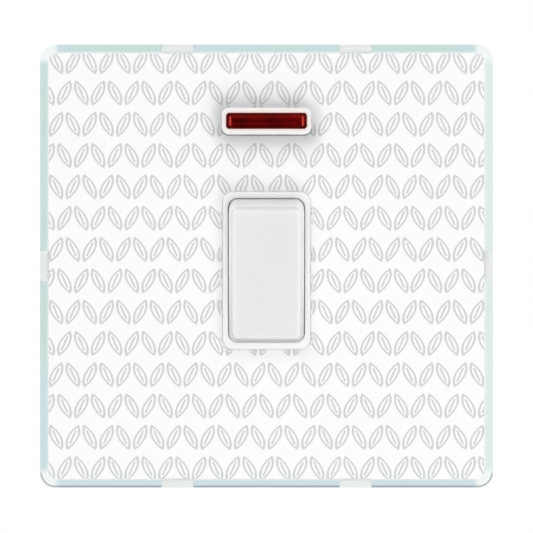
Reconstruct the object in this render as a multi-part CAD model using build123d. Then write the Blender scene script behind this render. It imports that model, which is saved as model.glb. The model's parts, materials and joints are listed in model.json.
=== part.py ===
from build123d import *
import os

# Double pole rocker switch with a neon lamp, for a flush wall box, with a clear clip-on front plate
# that holds a sheet of wallpaper. All sizes are millimetres.
# Every piece is drawn looking at the front: x to the right, y up, z out of the wall, and the wall is z = 0.
# stand_up then turns it so that z is up and the front faces -Y.

# Clear front plate
plate_width = 90.0
plate_height = 88.0
plate_depth = 7.0
plate_corner = 3.0
plate_wall = 1.5
plate_face = 2.0
plate_edge_bevel = 0.45
window_gap = 0.15
window_bevel = 0.25
pry_width = 12.0
pry_depth = 1.0

# Tabs of the sub-plate that fill the notches in the front plate's walls
end_tab_x = 17.7
end_tab_width = 6.4
side_tab_width = 6.2
tab_gap = 0.1

# Wallpaper sheet
paper_thick = 0.25
paper_air = 0.1
paper_window_gap = 0.1

# Sub-plate
sub_gap = 0.2
sub_skin = 1.8
sub_rim = 1.6
sub_rib = 1.2
sub_rib_depth = 1.4
hole_gap = 0.1

# Wall fixing
fixing_pitch = 60.3
fixing_hole_radius = 2.0
fixing_boss_radius = 4.4
fixing_head_radius = 3.7
fixing_head_depth = 1.4

# Rocker frame, the neck that shows around the rocker, and the ring at its foot
rocker_y = -0.87
neck_width = 17.5
neck_height = 31.3
neck_corner = 2.0
neck_proud = 1.0
neck_edge = 0.5
ring_margin = 1.0
mouth_bevel = 0.15

# Switch housing
housing_width = 36.0
housing_top = 22.0
housing_bottom = -30.0
housing_corner = 2.0
housing_wall = 1.6
housing_back = -21.5
housing_back_edge = 0.8
barrier_thick = 1.4
barrier_proud = 1.6
flange_thick = 2.0
pocket_floor = 3.5
channel_floor = 2.0
partition = 1.4
channel_half_width = 6.9
relief_gap = 0.45
relief_depth = 1.85

# Rocker
rocker_width = 14.9
rocker_end_radius = 14.8
rocker_side_gap = 0.15
rocker_end_gap = 0.15
rocker_corner = 1.7
rocker_wall = 1.3
rocker_roof = 1.8
rocker_bottom = 1.8
rim_level = 9.0
pad_level = 10.0
pad_inset = 0.55
pad_corner = 1.3
pad_edge = 0.9
pivot_level = 3.6
pivot_radius = 1.1
pivot_length = 1.2
pivot_gap = 0.05
pivot_end_gap = 0.2
pivot_slot = 1.9
rocker_tilt = 7.5

# Plungers, their guides and springs
pole_x = 4.0
guide_radius = 2.1
guide_bottom = -4.5
guide_top = 6.5
guide_rib = 1.2
guide_rib_bottom = 0.5
plunger_radius = 1.3
plunger_gap = 0.08
plunger_reach = 10.5
plunger_top = -1.0
spring_wire = 0.36
spring_gap = 0.15
spring_turns = 5
spring_sides = 8

# Moving contacts
contact_width = 4.0
contact_thick = 0.8
contact_half_length = 8.0
contact_saddle = 0.9
contact_saddle_length = 3.4
contact_edge = 0.6
contact_air = 0.05
contact_pin_radius = 0.6
contact_pin_gap = 0.05
contact_tilt = 5.0
tip_offset = 6.5
tip_radius = 1.3
tip_thick = 0.6
tip_shank = 0.7
tip_dome = 3.0
tip_dome_rise = 0.5
tip_air = 0.05

# Fixed conductors
strip_thick = 0.8
strip_width = 4.0
strip_leg = 3.5
tongue_thick = 0.9
strip_clear = 0.3

# Terminals
terminal_x = 12.2
terminal_width = 7.0
terminal_length = 9.0
terminal_height = 8.0
terminal_level = -14.0
terminal_gap = 0.3
wire_bore_radius = 2.4
wire_bore_depth = 8.0
wire_entry_radius = 2.75
wire_entry_bevel = 0.6
terminal_screw_radius = 1.6
terminal_screw_gap = 0.05
terminal_head_radius = 2.3
terminal_head_height = 2.0
terminal_head_lift = 0.3
terminal_access_radius = 2.7
terminal_access_bevel = 0.5
screw_slot_width = 0.8
screw_slot_depth = 0.9

# Screws that hold the housing to the sub-plate
body_screw_inset = 4.5
body_screw_radius = 1.3
body_screw_hole = 1.6
body_screw_end = 1.5
body_head_radius = 2.5
body_head_height = 1.8
body_head_recess = 2.2
body_head_gap = 0.3
body_column_radius = 4.2
body_boss_radius = 2.6
body_boss_end = -4.0
body_boss_gap = 0.15
body_pilot_gap = 0.03

# Neon indicator
neon_y = 28.7
bezel_width = 17.8
bezel_height = 5.3
bezel_corner = 1.4
bezel_level = 10.0
bezel_edge = 0.5
neon_flange_width = 27.0
neon_flange_height = 11.0
neon_flange_corner = 1.5
chamber_width = 21.0
chamber_height = 8.0
chamber_corner = 1.0
chamber_wall = 1.0
chamber_back = -8.0
cap_thick = 1.2
cap_rim = 0.8
cap_gap = 0.1
stake_x = 12.1
stake_radius = 0.7
stake_head_radius = 1.1
stake_head = 0.4
lens_width = 15.9
lens_height = 3.1
lens_corner = 0.6
lens_level = 9.6
lens_edge = 0.35
lens_end_bevel = 0.9
lens_end_drop = 0.6
lens_gap = 0.05
lens_flange_margin = 0.35
lens_flange_thick = 1.2
lens_core = 0.8
lamp_radius = 2.0
lamp_length = 11.0
lamp_level = -3.2
lamp_pinch_length = 1.2
lamp_pinch_height = 1.0
lamp_gap = 0.05
cradle_x = 3.0
cradle_thick = 1.0
resistor_radius = 0.85
resistor_length = 4.6
resistor_level = -6.6
lead_radius = 0.3
lead_x = 9.0
lead_bend = 0.9
lead_loop = 1.3
lead_slot_gap = 0.25

# Levels and places that follow from the sizes above
plate_inner = plate_depth - plate_face
paper_top = plate_inner - paper_air
skin_top = paper_top - paper_thick
skin_bottom = skin_top - sub_skin
sub_width = plate_width - 2 * (plate_wall + sub_gap)
sub_height = plate_height - 2 * (plate_wall + sub_gap)
sub_corner = plate_corner - plate_wall
neck_top = plate_depth + neck_proud
ring_width = neck_width + 2 * ring_margin
ring_height = neck_height + 2 * ring_margin
ring_corner = neck_corner + ring_margin
ring_top = skin_top
flange_bottom = skin_bottom - flange_thick
housing_height = housing_top - housing_bottom
housing_y = (housing_top + housing_bottom) / 2
body_screw_x = housing_width / 2 - body_screw_inset
pocket_level = housing_back + pocket_floor
channel_level = housing_back + channel_floor
cavity_radius = rocker_end_radius + rocker_end_gap
cavity_half_width = rocker_width / 2 + rocker_side_gap
contact_top = contact_saddle + contact_thick
contact_pivot = pivot_level - (plunger_reach + plunger_radius + contact_air + contact_top)
fixing_x = fixing_pitch / 2
load_y = housing_top - housing_wall - terminal_gap - terminal_length / 2
supply_y = housing_bottom + housing_wall + terminal_gap + terminal_length / 2
SIDES = {"left": -1, "right": 1}
POLES = [(side, row) for side in SIDES.values() for row in (1, -1)]


def plate(width, height, corner, low, high, x=0.0, y=0.0):
    """A slab with rounded corners, from z = low to z = high."""
    return Pos(x, y, low) * extrude(RectangleRounded(width, height, corner), high - low)


def grown(width, height, corner, gap):
    """The sizes of a rounded rectangle that stands outside another by one gap."""
    return width + 2 * gap, height + 2 * gap, corner + gap


def block(x_span, y_span, z_span):
    """A box between two planes each way."""
    spans = (x_span, y_span, z_span)
    middle = [(min(span) + max(span)) / 2 for span in spans]
    return Pos(*middle) * Box(*[max(span) - min(span) for span in spans])


def rod(radius, low, high, x, y):
    """A round bar along z."""
    return Pos(x, y, (low + high) / 2) * Cylinder(radius, high - low)


def cross_rod(radius, x_span, y, z):
    """A round bar along x."""
    start, end = min(x_span), max(x_span)
    return Pos((start + end) / 2, y, z) * Rot(0, 90, 0) * Cylinder(radius, end - start)


def rising_rod(radius, y_span, x, z):
    """A round bar along y."""
    start, end = min(y_span), max(y_span)
    return Pos(x, (start + end) / 2, z) * Rot(90, 0, 0) * Cylinder(radius, end - start)


def drum(radius, half_width, low, high):
    """The slice between two levels of a drum about the rocker's pivot."""
    whole = cross_rod(radius, (-half_width, half_width), rocker_y, pivot_level)
    reach = radius + pivot_length
    span = (rocker_y - reach, rocker_y + reach)
    return whole & block((-half_width, half_width), span, (low, high))


def upright_edges(solid):
    """The edges that run towards the front at the corners of a drum slice."""
    sides = [face for face in solid.faces() if abs(face.normal_at().X) > 0.99]
    ends = [face for face in solid.faces() if face.geom_type == GeomType.CYLINDER]
    side_edges = [edge for face in sides for edge in face.edges()]
    return ShapeList([edge for face in ends for edge in face.edges() if edge in side_edges])


def top_edges(solid):
    """The edges of the face nearest the front."""
    return solid.faces().sort_by(Axis.Z)[-1].edges()


def stand_up(shape):
    """Turns a piece from its drawing frame so that up is +Z and the front faces -Y."""
    return Rot(90, 0, 0) * shape


def tilt_rocker(shape):
    """Turns a piece about the rocker's pivot from mid travel to rest, with the top out."""
    pivot = Pos(0, rocker_y, pivot_level)
    return pivot * Rot(rocker_tilt, 0, 0) * pivot.inverse() * shape


def tilt_contact(shape):
    """Turns a piece about the moving contact's pivot from mid travel to closed."""
    pivot = Pos(0, rocker_y, contact_pivot)
    return pivot * Rot(-contact_tilt, 0, 0) * pivot.inverse() * shape


def tab_places():
    """The centre and the outward direction of each of the six tabs, with its width."""
    ends = [(side * end_tab_x, row, end_tab_width) for side in SIDES.values() for row in (1, -1)]
    places = [((x, row * plate_height / 2), (0, row), width) for x, row, width in ends]
    places += [((side * plate_width / 2, 0), (side, 0), side_tab_width) for side in SIDES.values()]
    return places


def tab_block(place, direction, width, inward, outward, z_span):
    """A block across the plate's edge at one tab, from inward of the edge to outward of it."""
    depth = sorted((-inward, outward))
    if direction[0]:
        x_span = [place[0] + direction[0] * d for d in depth]
        y_span = (place[1] - width / 2, place[1] + width / 2)
    else:
        x_span = (place[0] - width / 2, place[0] + width / 2)
        y_span = [place[1] + direction[1] * d for d in depth]
    return block(x_span, y_span, z_span)


def front_plate():
    tray = plate(plate_width, plate_height, plate_corner, 0, plate_depth)
    tray = chamfer(top_edges(tray), plate_edge_bevel)
    inner_width = plate_width - 2 * plate_wall
    inner_height = plate_height - 2 * plate_wall
    tray -= plate(inner_width, inner_height, sub_corner, 0, plate_inner)
    for place, direction, width in tab_places():
        notch = width + 2 * tab_gap
        tray -= tab_block(place, direction, notch, plate_wall, plate_wall, (0, plate_inner))
    windows = [(neck_width, neck_height, neck_corner, rocker_y)]
    windows += [(bezel_width, bezel_height, bezel_corner, neon_y)]
    for width, height, corner, y in windows:
        tray -= plate(*grown(width, height, corner, window_gap), 0, plate_depth, 0, y)
        foot = RectangleRounded(*grown(width, height, corner, window_gap))
        mouth = RectangleRounded(*grown(width, height, corner, window_gap + window_bevel))
        tray -= loft([Pos(0, y, plate_depth - window_bevel) * foot, Pos(0, y, plate_depth) * mouth])
    bottom = -plate_height / 2
    tray -= block((-pry_width / 2, pry_width / 2), (bottom, bottom + plate_wall), (0, pry_depth))
    return tray


def paper_insert():
    sheet = plate(sub_width, sub_height, sub_corner, skin_top, paper_top)
    neck_window = grown(neck_width, neck_height, neck_corner, paper_window_gap)
    sheet -= plate(*neck_window, skin_top, paper_top, 0, rocker_y)
    bezel_window = grown(bezel_width, bezel_height, bezel_corner, paper_window_gap)
    return sheet - plate(*bezel_window, skin_top, paper_top, 0, neon_y)


def sub_plate():
    body = plate(sub_width, sub_height, sub_corner, 0, skin_top)
    inner = (sub_width - 2 * sub_rim, sub_height - 2 * sub_rim)
    body -= plate(*inner, sub_corner / 2, 0, skin_bottom)
    for place, direction, width in tab_places():
        inward = plate_wall + sub_gap
        body += tab_block(place, direction, width, inward + sub_rim, -tab_gap, (tab_gap, skin_top))
        body += tab_block(place, direction, width, inward, -tab_gap, (skin_top, plate_inner - tab_gap))
    rib_span = (skin_bottom - sub_rib_depth, skin_bottom)
    for y in (housing_top + sub_rib, housing_bottom - sub_rib):
        body += block((-inner[0] / 2, inner[0] / 2), (y - sub_rib / 2, y + sub_rib / 2), rib_span)
    for side in SIDES.values():
        rib_x = side * (housing_width / 2 + sub_rib)
        body += block((rib_x - sub_rib / 2, rib_x + sub_rib / 2), (-inner[1] / 2, inner[1] / 2), rib_span)
    seat = grown(neon_flange_width, neon_flange_height, neon_flange_corner, hole_gap)
    body -= plate(*seat, 0, skin_bottom, 0, neon_y)
    for side in SIDES.values():
        body += rod(fixing_boss_radius, 0, skin_bottom, side * fixing_x, 0)
        body -= rod(fixing_hole_radius, 0, skin_top, side * fixing_x, 0)
        sink = Cone(fixing_hole_radius, fixing_head_radius, fixing_head_depth)
        body -= Pos(side * fixing_x, 0, skin_top - fixing_head_depth / 2) * sink
        boss = rod(body_boss_radius, body_boss_end, skin_bottom, side * body_screw_x, rocker_y)
        pilot_radius = body_screw_radius + body_pilot_gap
        boss -= rod(pilot_radius, body_boss_end, body_screw_end + hole_gap, side * body_screw_x, rocker_y)
        body += boss
        stake_foot = flange_bottom - stake_head
        body += rod(stake_radius, stake_foot, skin_bottom, side * stake_x, neon_y)
        body += rod(stake_head_radius, stake_foot, flange_bottom, side * stake_x, neon_y)
    body -= plate(*grown(ring_width, ring_height, ring_corner, hole_gap), 0, skin_top, 0, rocker_y)
    return body - plate(*grown(bezel_width, bezel_height, bezel_corner, hole_gap), 0, skin_top, 0, neon_y)


def switch_cover():
    body = plate(housing_width, housing_height, housing_corner, flange_bottom, skin_bottom, 0, housing_y)
    body += plate(ring_width, ring_height, ring_corner, flange_bottom, ring_top, 0, rocker_y)
    neck = plate(neck_width, neck_height, neck_corner, flange_bottom, neck_top, 0, rocker_y)
    body += fillet(top_edges(neck), neck_edge)
    cavity = drum(cavity_radius, cavity_half_width, flange_bottom, neck_top)
    body -= fillet(upright_edges(cavity), rocker_corner + rocker_side_gap)
    mouth = body.faces().sort_by(Axis.Z)[-1].inner_wires()[0]
    body = chamfer(mouth.edges(), mouth_bevel)
    for side in SIDES.values():
        end = rocker_width / 2 + pivot_length + pivot_end_gap
        span = (side * cavity_half_width, side * end)
        body -= cross_rod(pivot_radius + pivot_gap, span, rocker_y, pivot_level)
        slot = (rocker_y - pivot_slot / 2, rocker_y + pivot_slot / 2)
        body -= block(span, slot, (flange_bottom, pivot_level))
        hole = body_boss_radius + body_boss_gap
        body -= rod(hole, flange_bottom, skin_bottom, side * body_screw_x, rocker_y)
    return body


def side_bay(side):
    """The hollow beside one pole, around the column that a body screw runs through."""
    wall_x = channel_half_width + housing_wall
    outer_x = housing_width / 2 - housing_wall
    low = supply_y + terminal_length / 2 + terminal_gap + housing_wall
    high = load_y - terminal_length / 2 - terminal_gap - housing_wall
    bay = block((side * wall_x, side * outer_x), (low, high), (channel_level, flange_bottom))
    return bay - rod(body_column_radius, channel_level, flange_bottom, side * body_screw_x, rocker_y)


def terminal_hollows(side, row):
    """What one terminal needs: its pocket, the wire entry, the screw's way in and the strip's slot."""
    x = side * terminal_x
    y = load_y if row > 0 else supply_y
    half_x = terminal_width / 2 + terminal_gap
    half_y = terminal_length / 2 + terminal_gap
    pocket = block((x - half_x, x + half_x), (y - half_y, y + half_y), (pocket_level, flange_bottom))
    outside = housing_top if row > 0 else housing_bottom
    entry = rising_rod(wire_entry_radius, (y, outside), x, terminal_level)
    funnel = Cone(wire_entry_radius, wire_entry_radius + wire_entry_bevel, wire_entry_bevel)
    entry += Pos(x, outside - row * wire_entry_bevel / 2, terminal_level) * Rot(-row * 90, 0, 0) * funnel
    access = rod(terminal_access_radius, housing_back, pocket_level, x, y)
    wide = terminal_access_radius + terminal_access_bevel
    mouth = Cone(wide, terminal_access_radius, terminal_access_bevel)
    access += Pos(x, y, housing_back + terminal_access_bevel / 2) * mouth
    low, high = strip_leg_span(row)
    level = fixed_strip_top() if row > 0 else channel_level + strip_thick
    slot_y = (low - strip_clear, high + strip_clear)
    slot_x = (side * (channel_half_width - strip_clear), side * (terminal_x - half_x + strip_clear))
    slot = block(slot_x, slot_y, (level - strip_thick, flange_bottom))
    return pocket + entry + access + slot


def switch_base():
    body = plate(housing_width, housing_height, housing_corner, housing_back, flange_bottom, 0, housing_y)
    body = chamfer(body.faces().sort_by(Axis.Z)[0].edges(), housing_back_edge)
    barrier_x = (-barrier_thick / 2, barrier_thick / 2)
    barrier_y = (housing_bottom - barrier_proud, housing_top + barrier_proud)
    barrier_z = (housing_back + housing_back_edge, terminal_level + terminal_height / 2)
    body += block(barrier_x, barrier_y, barrier_z)
    lower = housing_bottom + housing_wall
    upper = housing_top - housing_wall
    for side in SIDES.values():
        channel_x = (side * partition / 2, side * channel_half_width)
        body -= block(channel_x, (lower, upper), (channel_level, flange_bottom))
        body -= side_bay(side)
        x = side * body_screw_x
        socket = (body_boss_radius + body_boss_gap, body_boss_end - body_boss_gap, flange_bottom)
        body -= rod(*socket, x, rocker_y)
        body -= rod(body_screw_hole, housing_back, body_boss_end, x, rocker_y)
        recess = body_head_radius + body_head_gap
        body -= rod(recess, housing_back, housing_back + body_head_recess, x, rocker_y)
        low, high = rocker_y + tip_offset - tip_radius, rocker_y + tip_offset + tip_radius
        pedestal_x = (side * (pole_x - strip_width / 2), side * (pole_x + strip_width / 2))
        body += block(pedestal_x, (low, high), (channel_level, fixed_strip_top() - strip_thick))
        lead = lead_radius + lead_slot_gap
        body -= block(
            (side * lead_x - lead, side * lead_x + lead),
            (upper - terminal_gap, housing_top),
            (resistor_level - lead, flange_bottom),
        )
    for side, row in POLES:
        body -= terminal_hollows(side, row)
    swing = cavity_radius + relief_gap
    swing_y = (rocker_y - swing, rocker_y + swing)
    relief_z = (flange_bottom - relief_depth, flange_bottom)
    return body - block((-cavity_half_width, cavity_half_width), swing_y, relief_z)


def rocker():
    body = drum(rocker_end_radius, rocker_width / 2, rocker_bottom, rim_level)
    body = fillet(upright_edges(body), rocker_corner)
    pad_half_width = rocker_width / 2 - pad_inset
    pad = drum(rocker_end_radius - pad_inset, pad_half_width, rocker_bottom, pad_level)
    pad = fillet(upright_edges(pad), pad_corner)
    body += fillet(top_edges(pad), pad_edge)
    inner_half_width = rocker_width / 2 - rocker_wall
    roof = pad_level - rocker_roof
    body -= drum(rocker_end_radius - rocker_wall, inner_half_width, rocker_bottom, roof)
    rib_y = (rocker_y - guide_rib / 2, rocker_y + guide_rib / 2)
    body += block((-inner_half_width, inner_half_width), rib_y, (guide_rib_bottom, roof))
    for side in SIDES.values():
        body += rod(guide_radius, guide_bottom, roof, side * pole_x, rocker_y)
        body -= rod(plunger_radius + plunger_gap, guide_bottom, guide_top, side * pole_x, rocker_y)
        pivot_x = (side * inner_half_width, side * (rocker_width / 2 + pivot_length))
        body += cross_rod(pivot_radius, pivot_x, rocker_y, pivot_level)
    return tilt_rocker(body)


def plunger(side):
    x = side * pole_x
    tip_level = pivot_level - plunger_reach
    body = rod(plunger_radius, tip_level, plunger_top, x, rocker_y)
    body += Pos(x, rocker_y, tip_level) * Sphere(plunger_radius)
    return tilt_rocker(body)


def plunger_spring(side):
    coil_radius = plunger_radius - spring_gap - spring_wire / 2
    length = guide_top - plunger_top - spring_wire
    path = Helix(length / spring_turns, length, coil_radius)
    start = Plane(origin=path @ 0, z_dir=path % 0)
    coil = sweep(start * RegularPolygon(spring_wire / 2, spring_sides), path, is_frenet=True)
    return tilt_rocker(Pos(side * pole_x, rocker_y, plunger_top + spring_wire / 2) * coil)


def moving_contact(side):
    x = side * pole_x
    ends = (rocker_y - contact_half_length, rocker_y + contact_half_length)
    half = contact_width / 2
    body = block((x - half, x + half), ends, (contact_pivot + contact_saddle, contact_pivot + contact_top))
    body = fillet(body.edges().filter_by(Axis.Z), contact_edge)
    saddle_y = (rocker_y - contact_saddle_length / 2, rocker_y + contact_saddle_length / 2)
    body += block((x - half, x + half), saddle_y, (contact_pivot, contact_pivot + contact_saddle))
    body -= cross_rod(contact_pin_radius + contact_pin_gap, (x - half, x + half), rocker_y, contact_pivot)
    body -= rod(tip_shank, contact_pivot, contact_pivot + contact_top, x, rocker_y + tip_offset)
    return tilt_contact(body)


def moving_tip(side):
    x = side * pole_x
    y = rocker_y + tip_offset
    underside = contact_pivot + contact_saddle
    body = rod(tip_radius, underside - tip_thick, underside, x, y)
    body += rod(tip_shank, underside, contact_pivot + contact_top, x, y)
    return tilt_contact(body)


def fixed_tip_top():
    """The level of the fixed tip's crown, just under the closed moving tip."""
    turn = Rot(-contact_tilt, 0, 0)
    face = turn * Pos(0, tip_offset, contact_saddle - tip_thick)
    return contact_pivot + face.position.Z - tip_air


def fixed_strip_top():
    return fixed_tip_top() - tip_dome_rise


def fixed_tip(side):
    x = side * pole_x
    y = rocker_y + tip_offset
    crown = Pos(x, y, fixed_tip_top() - tip_dome) * Sphere(tip_dome)
    body = rod(tip_radius, fixed_strip_top(), fixed_tip_top(), x, y) & crown
    return body + rod(tip_shank, fixed_strip_top() - strip_thick, fixed_strip_top(), x, y)


def strip_leg_span(row):
    """Where along y a strip's side leg meets its terminal."""
    if row > 0:
        start = load_y - terminal_length / 2 + strip_clear
        return start, start + strip_leg
    end = supply_y + terminal_length / 2 - strip_clear
    return end - strip_leg, end


def strip_foot(side, row, inner_y, top):
    """A flat strip from the pole's middle to the side of its terminal."""
    low, high = strip_leg_span(row)
    span_y = (inner_y, high) if row > 0 else (low, inner_y)
    half = strip_width / 2
    x = side * pole_x
    foot = block((x - half, x + half), span_y, (top - strip_thick, top))
    reach = side * (terminal_x - terminal_width / 2)
    return foot + block((side * pole_x, reach), (low, high), (top - strip_thick, top))


def fixed_contact(side):
    y = rocker_y + tip_offset
    strip = strip_foot(side, 1, y - tip_radius, fixed_strip_top())
    return strip - rod(tip_shank, fixed_strip_top() - strip_thick, fixed_strip_top(), side * pole_x, y)


def pivot_bracket(side):
    top = channel_level + strip_thick
    inner_y = rocker_y + tongue_thick / 2
    body = strip_foot(side, -1, inner_y, top)
    half = strip_width / 2
    x_span = (side * pole_x - half, side * pole_x + half)
    tongue_y = (rocker_y - tongue_thick / 2, inner_y)
    body += block(x_span, tongue_y, (channel_level, contact_pivot))
    return body + cross_rod(contact_pin_radius, x_span, rocker_y, contact_pivot)


def terminal(side, row):
    x = side * terminal_x
    y = load_y if row > 0 else supply_y
    half_x, half_y = terminal_width / 2, terminal_length / 2
    half_z = terminal_height / 2
    z_span = (terminal_level - half_z, terminal_level + half_z)
    body = block((x - half_x, x + half_x), (y - half_y, y + half_y), z_span)
    mouth = y + row * half_y
    body -= rising_rod(wire_bore_radius, (mouth - row * wire_bore_depth, mouth), x, terminal_level)
    hole = terminal_screw_radius + terminal_screw_gap
    return body - rod(hole, terminal_level - half_z, terminal_level, x, y)


def slotted_screw(radius, head_radius, head_height, head_level, end, x, y):
    """A cheese head screw that points to the front, its slot facing back at head_level."""
    body = rod(head_radius, head_level, head_level + head_height, x, y)
    body += rod(radius, head_level + head_height, end, x, y)
    slot_x = (x - head_radius, x + head_radius)
    slot_y = (y - screw_slot_width / 2, y + screw_slot_width / 2)
    return body - block(slot_x, slot_y, (head_level, head_level + screw_slot_depth))


def terminal_screw(side, row):
    y = load_y if row > 0 else supply_y
    seat = terminal_level - terminal_height / 2 - terminal_head_lift
    end = terminal_level - wire_bore_radius - hole_gap
    sizes = (terminal_screw_radius, terminal_head_radius, terminal_head_height)
    return slotted_screw(*sizes, seat - terminal_head_height, end, side * terminal_x, y)


def body_screw(side):
    level = housing_back + body_head_recess - body_head_height
    sizes = (body_screw_radius, body_head_radius, body_head_height)
    return slotted_screw(*sizes, level, body_screw_end, side * body_screw_x, rocker_y)


def neon_surround():
    bezel = plate(bezel_width, bezel_height, bezel_corner, flange_bottom, bezel_level, 0, neon_y)
    body = fillet(top_edges(bezel), bezel_edge)
    flange = (neon_flange_width, neon_flange_height, neon_flange_corner)
    body += plate(*flange, flange_bottom, skin_bottom, 0, neon_y)
    body += plate(chamber_width, chamber_height, chamber_corner, chamber_back, flange_bottom, 0, neon_y)
    body -= plate(*chamber_inner(), chamber_corner / 2, chamber_back, flange_bottom, 0, neon_y)
    slot = (lens_width + 2 * lens_gap, lens_height + 2 * lens_gap, lens_corner + lens_gap)
    body -= plate(*slot, flange_bottom, bezel_level, 0, neon_y)
    for side in SIDES.values():
        body -= rod(stake_radius + hole_gap, flange_bottom, skin_bottom, side * stake_x, neon_y)
        lead = lead_radius + lead_slot_gap
        lead_span = (side * lead_x - lead, side * lead_x + lead)
        outside = neon_y - chamber_height / 2
        wall_y = (outside, outside + chamber_wall + chamber_corner)
        body -= block(lead_span, wall_y, (chamber_back, lamp_level + lead))
    return body


def chamber_inner():
    return chamber_width - 2 * chamber_wall, chamber_height - 2 * chamber_wall


def neon_back_cap():
    back = chamber_back - cap_thick
    cap = plate(chamber_width, chamber_height, chamber_corner, back, chamber_back, 0, neon_y)
    width, height = [size - 2 * cap_gap for size in chamber_inner()]
    rim_z = (chamber_back, chamber_back + cap_rim)
    cap += plate(width, height, chamber_corner / 2, *rim_z, 0, neon_y)
    cap -= plate(width - 2 * cap_rim, height - 2 * cap_rim, chamber_corner / 4, *rim_z, 0, neon_y)
    for side in SIDES.values():
        x_span = (side * cradle_x - cradle_thick / 2, side * cradle_x + cradle_thick / 2)
        y_span = (neon_y - height / 2 + cap_rim, neon_y + height / 2 - cap_rim)
        cap += block(x_span, y_span, (chamber_back, lamp_level - lamp_radius / 2))
        cap -= cross_rod(lamp_radius + lamp_gap, x_span, neon_y, lamp_level)
        cap -= cross_rod(resistor_radius / 2, x_span, neon_y, resistor_level)
    return cap


def lens_end_wedge(side):
    """What the bevel takes off the lens at one end."""
    end = side * lens_width / 2
    inner = end - side * lens_end_bevel
    corners = [(inner, lens_level), (end, lens_level), (end, lens_level - lens_end_drop)]
    outline = Plane.XZ * make_face(Polyline(*corners, close=True))
    return Pos(0, neon_y + lens_height / 2, 0) * extrude(outline, lens_height)


def neon_lens():
    lens = plate(lens_width, lens_height, lens_corner, flange_bottom, lens_level, 0, neon_y)
    lens = chamfer(top_edges(lens), lens_edge)
    for side in SIDES.values():
        lens -= lens_end_wedge(side)
    width, height = lens_width + 2 * lens_flange_margin, lens_height + 2 * lens_flange_margin
    low = flange_bottom - lens_flange_thick
    lens += plate(width, height, lens_corner, low, flange_bottom, 0, neon_y)
    core = (lens_width - 2 * lens_core, lens_height - 2 * lens_core)
    return lens - plate(*core, lens_corner / 2, low, lens_level - 2 * lens_core, 0, neon_y)


def neon_lamp():
    start = -lamp_length / 2
    straight = cross_rod(lamp_radius, (start + lamp_radius, -start - lamp_radius), neon_y, lamp_level)
    bulb = straight + Pos(-start - lamp_radius, neon_y, lamp_level) * Sphere(lamp_radius)
    bulb += Pos(start + lamp_radius, neon_y, lamp_level) * Sphere(lamp_radius)
    pinch_x = (start - lamp_pinch_length, start + lamp_radius)
    pinch_y = (neon_y - lamp_radius / 2, neon_y + lamp_radius / 2)
    pinch_z = (lamp_level - lamp_pinch_height / 2, lamp_level + lamp_pinch_height / 2)
    return bulb + block(pinch_x, pinch_y, pinch_z)


def neon_resistor():
    half = resistor_length / 2
    body = cross_rod(resistor_radius, (-half, half), neon_y, resistor_level)
    return fillet(body.edges(), resistor_radius / 3)


def wire(points):
    """A round lead along straight runs joined by bends of one radius."""
    path = FilletPolyline(*points, radius=lead_bend)
    return sweep(Plane(origin=path @ 0, z_dir=path % 0) * Circle(lead_radius), path)


def neon_leads():
    """Three leads: lamp to the left terminal, lamp to resistor, and resistor to the right terminal."""
    half_gap = lamp_radius / 4
    lamp_end = -lamp_length / 2 - lamp_pinch_length
    terminal_top = terminal_level + terminal_height / 2
    to_left = wire([
        (lamp_end, neon_y - half_gap, lamp_level),
        (-lead_x, neon_y - half_gap, lamp_level),
        (-lead_x, load_y, lamp_level),
        (-lead_x, load_y, terminal_top),
    ])
    link = wire([
        (lamp_end, neon_y + half_gap, lamp_level),
        (lamp_end - lead_loop, neon_y + half_gap, lamp_level),
        (lamp_end - lead_loop, neon_y, resistor_level),
        (-resistor_length / 2, neon_y, resistor_level),
    ])
    to_right = wire([
        (resistor_length / 2, neon_y, resistor_level),
        (lead_x, neon_y, resistor_level),
        (lead_x, load_y, resistor_level),
        (lead_x, load_y, terminal_top),
    ])
    return Compound([to_left, link, to_right])


def main():
    os.makedirs("parts", exist_ok=True)
    pieces = {
        "front_plate": front_plate(),
        "paper_insert": paper_insert(),
        "sub_plate": sub_plate(),
        "switch_cover": switch_cover(),
        "switch_base": switch_base(),
        "rocker": rocker(),
        "terminal_screws": Compound([terminal_screw(*pole) for pole in POLES]),
        "body_screws": Compound([body_screw(side) for side in SIDES.values()]),
        "fixed_tips": Compound([fixed_tip(side) for side in SIDES.values()]),
        "neon_surround": neon_surround(),
        "neon_back_cap": neon_back_cap(),
        "neon_lens": neon_lens(),
        "neon_lamp": neon_lamp(),
        "neon_resistor": neon_resistor(),
        "neon_leads": neon_leads(),
    }
    for name, side in SIDES.items():
        pieces["plunger_" + name] = plunger(side)
        pieces["plunger_spring_" + name] = plunger_spring(side)
        pieces["moving_contact_" + name] = moving_contact(side)
        pieces["moving_tip_" + name] = moving_tip(side)
        pieces["fixed_contact_" + name] = fixed_contact(side)
        pieces["pivot_bracket_" + name] = pivot_bracket(side)
        pieces["load_terminal_" + name] = terminal(side, 1)
        pieces["supply_terminal_" + name] = terminal(side, -1)
    for name, piece in pieces.items():
        export_step(stand_up(piece), os.path.join("parts", name + ".step"))


main()
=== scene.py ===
"""Looks of a one gang double pole switch: a rocker and a neon lamp in a clear plate over wallpaper."""
import json
import logging
import math
from dataclasses import dataclass, field
from enum import Enum
from typing import Callable, Optional, Sequence, Union

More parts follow.
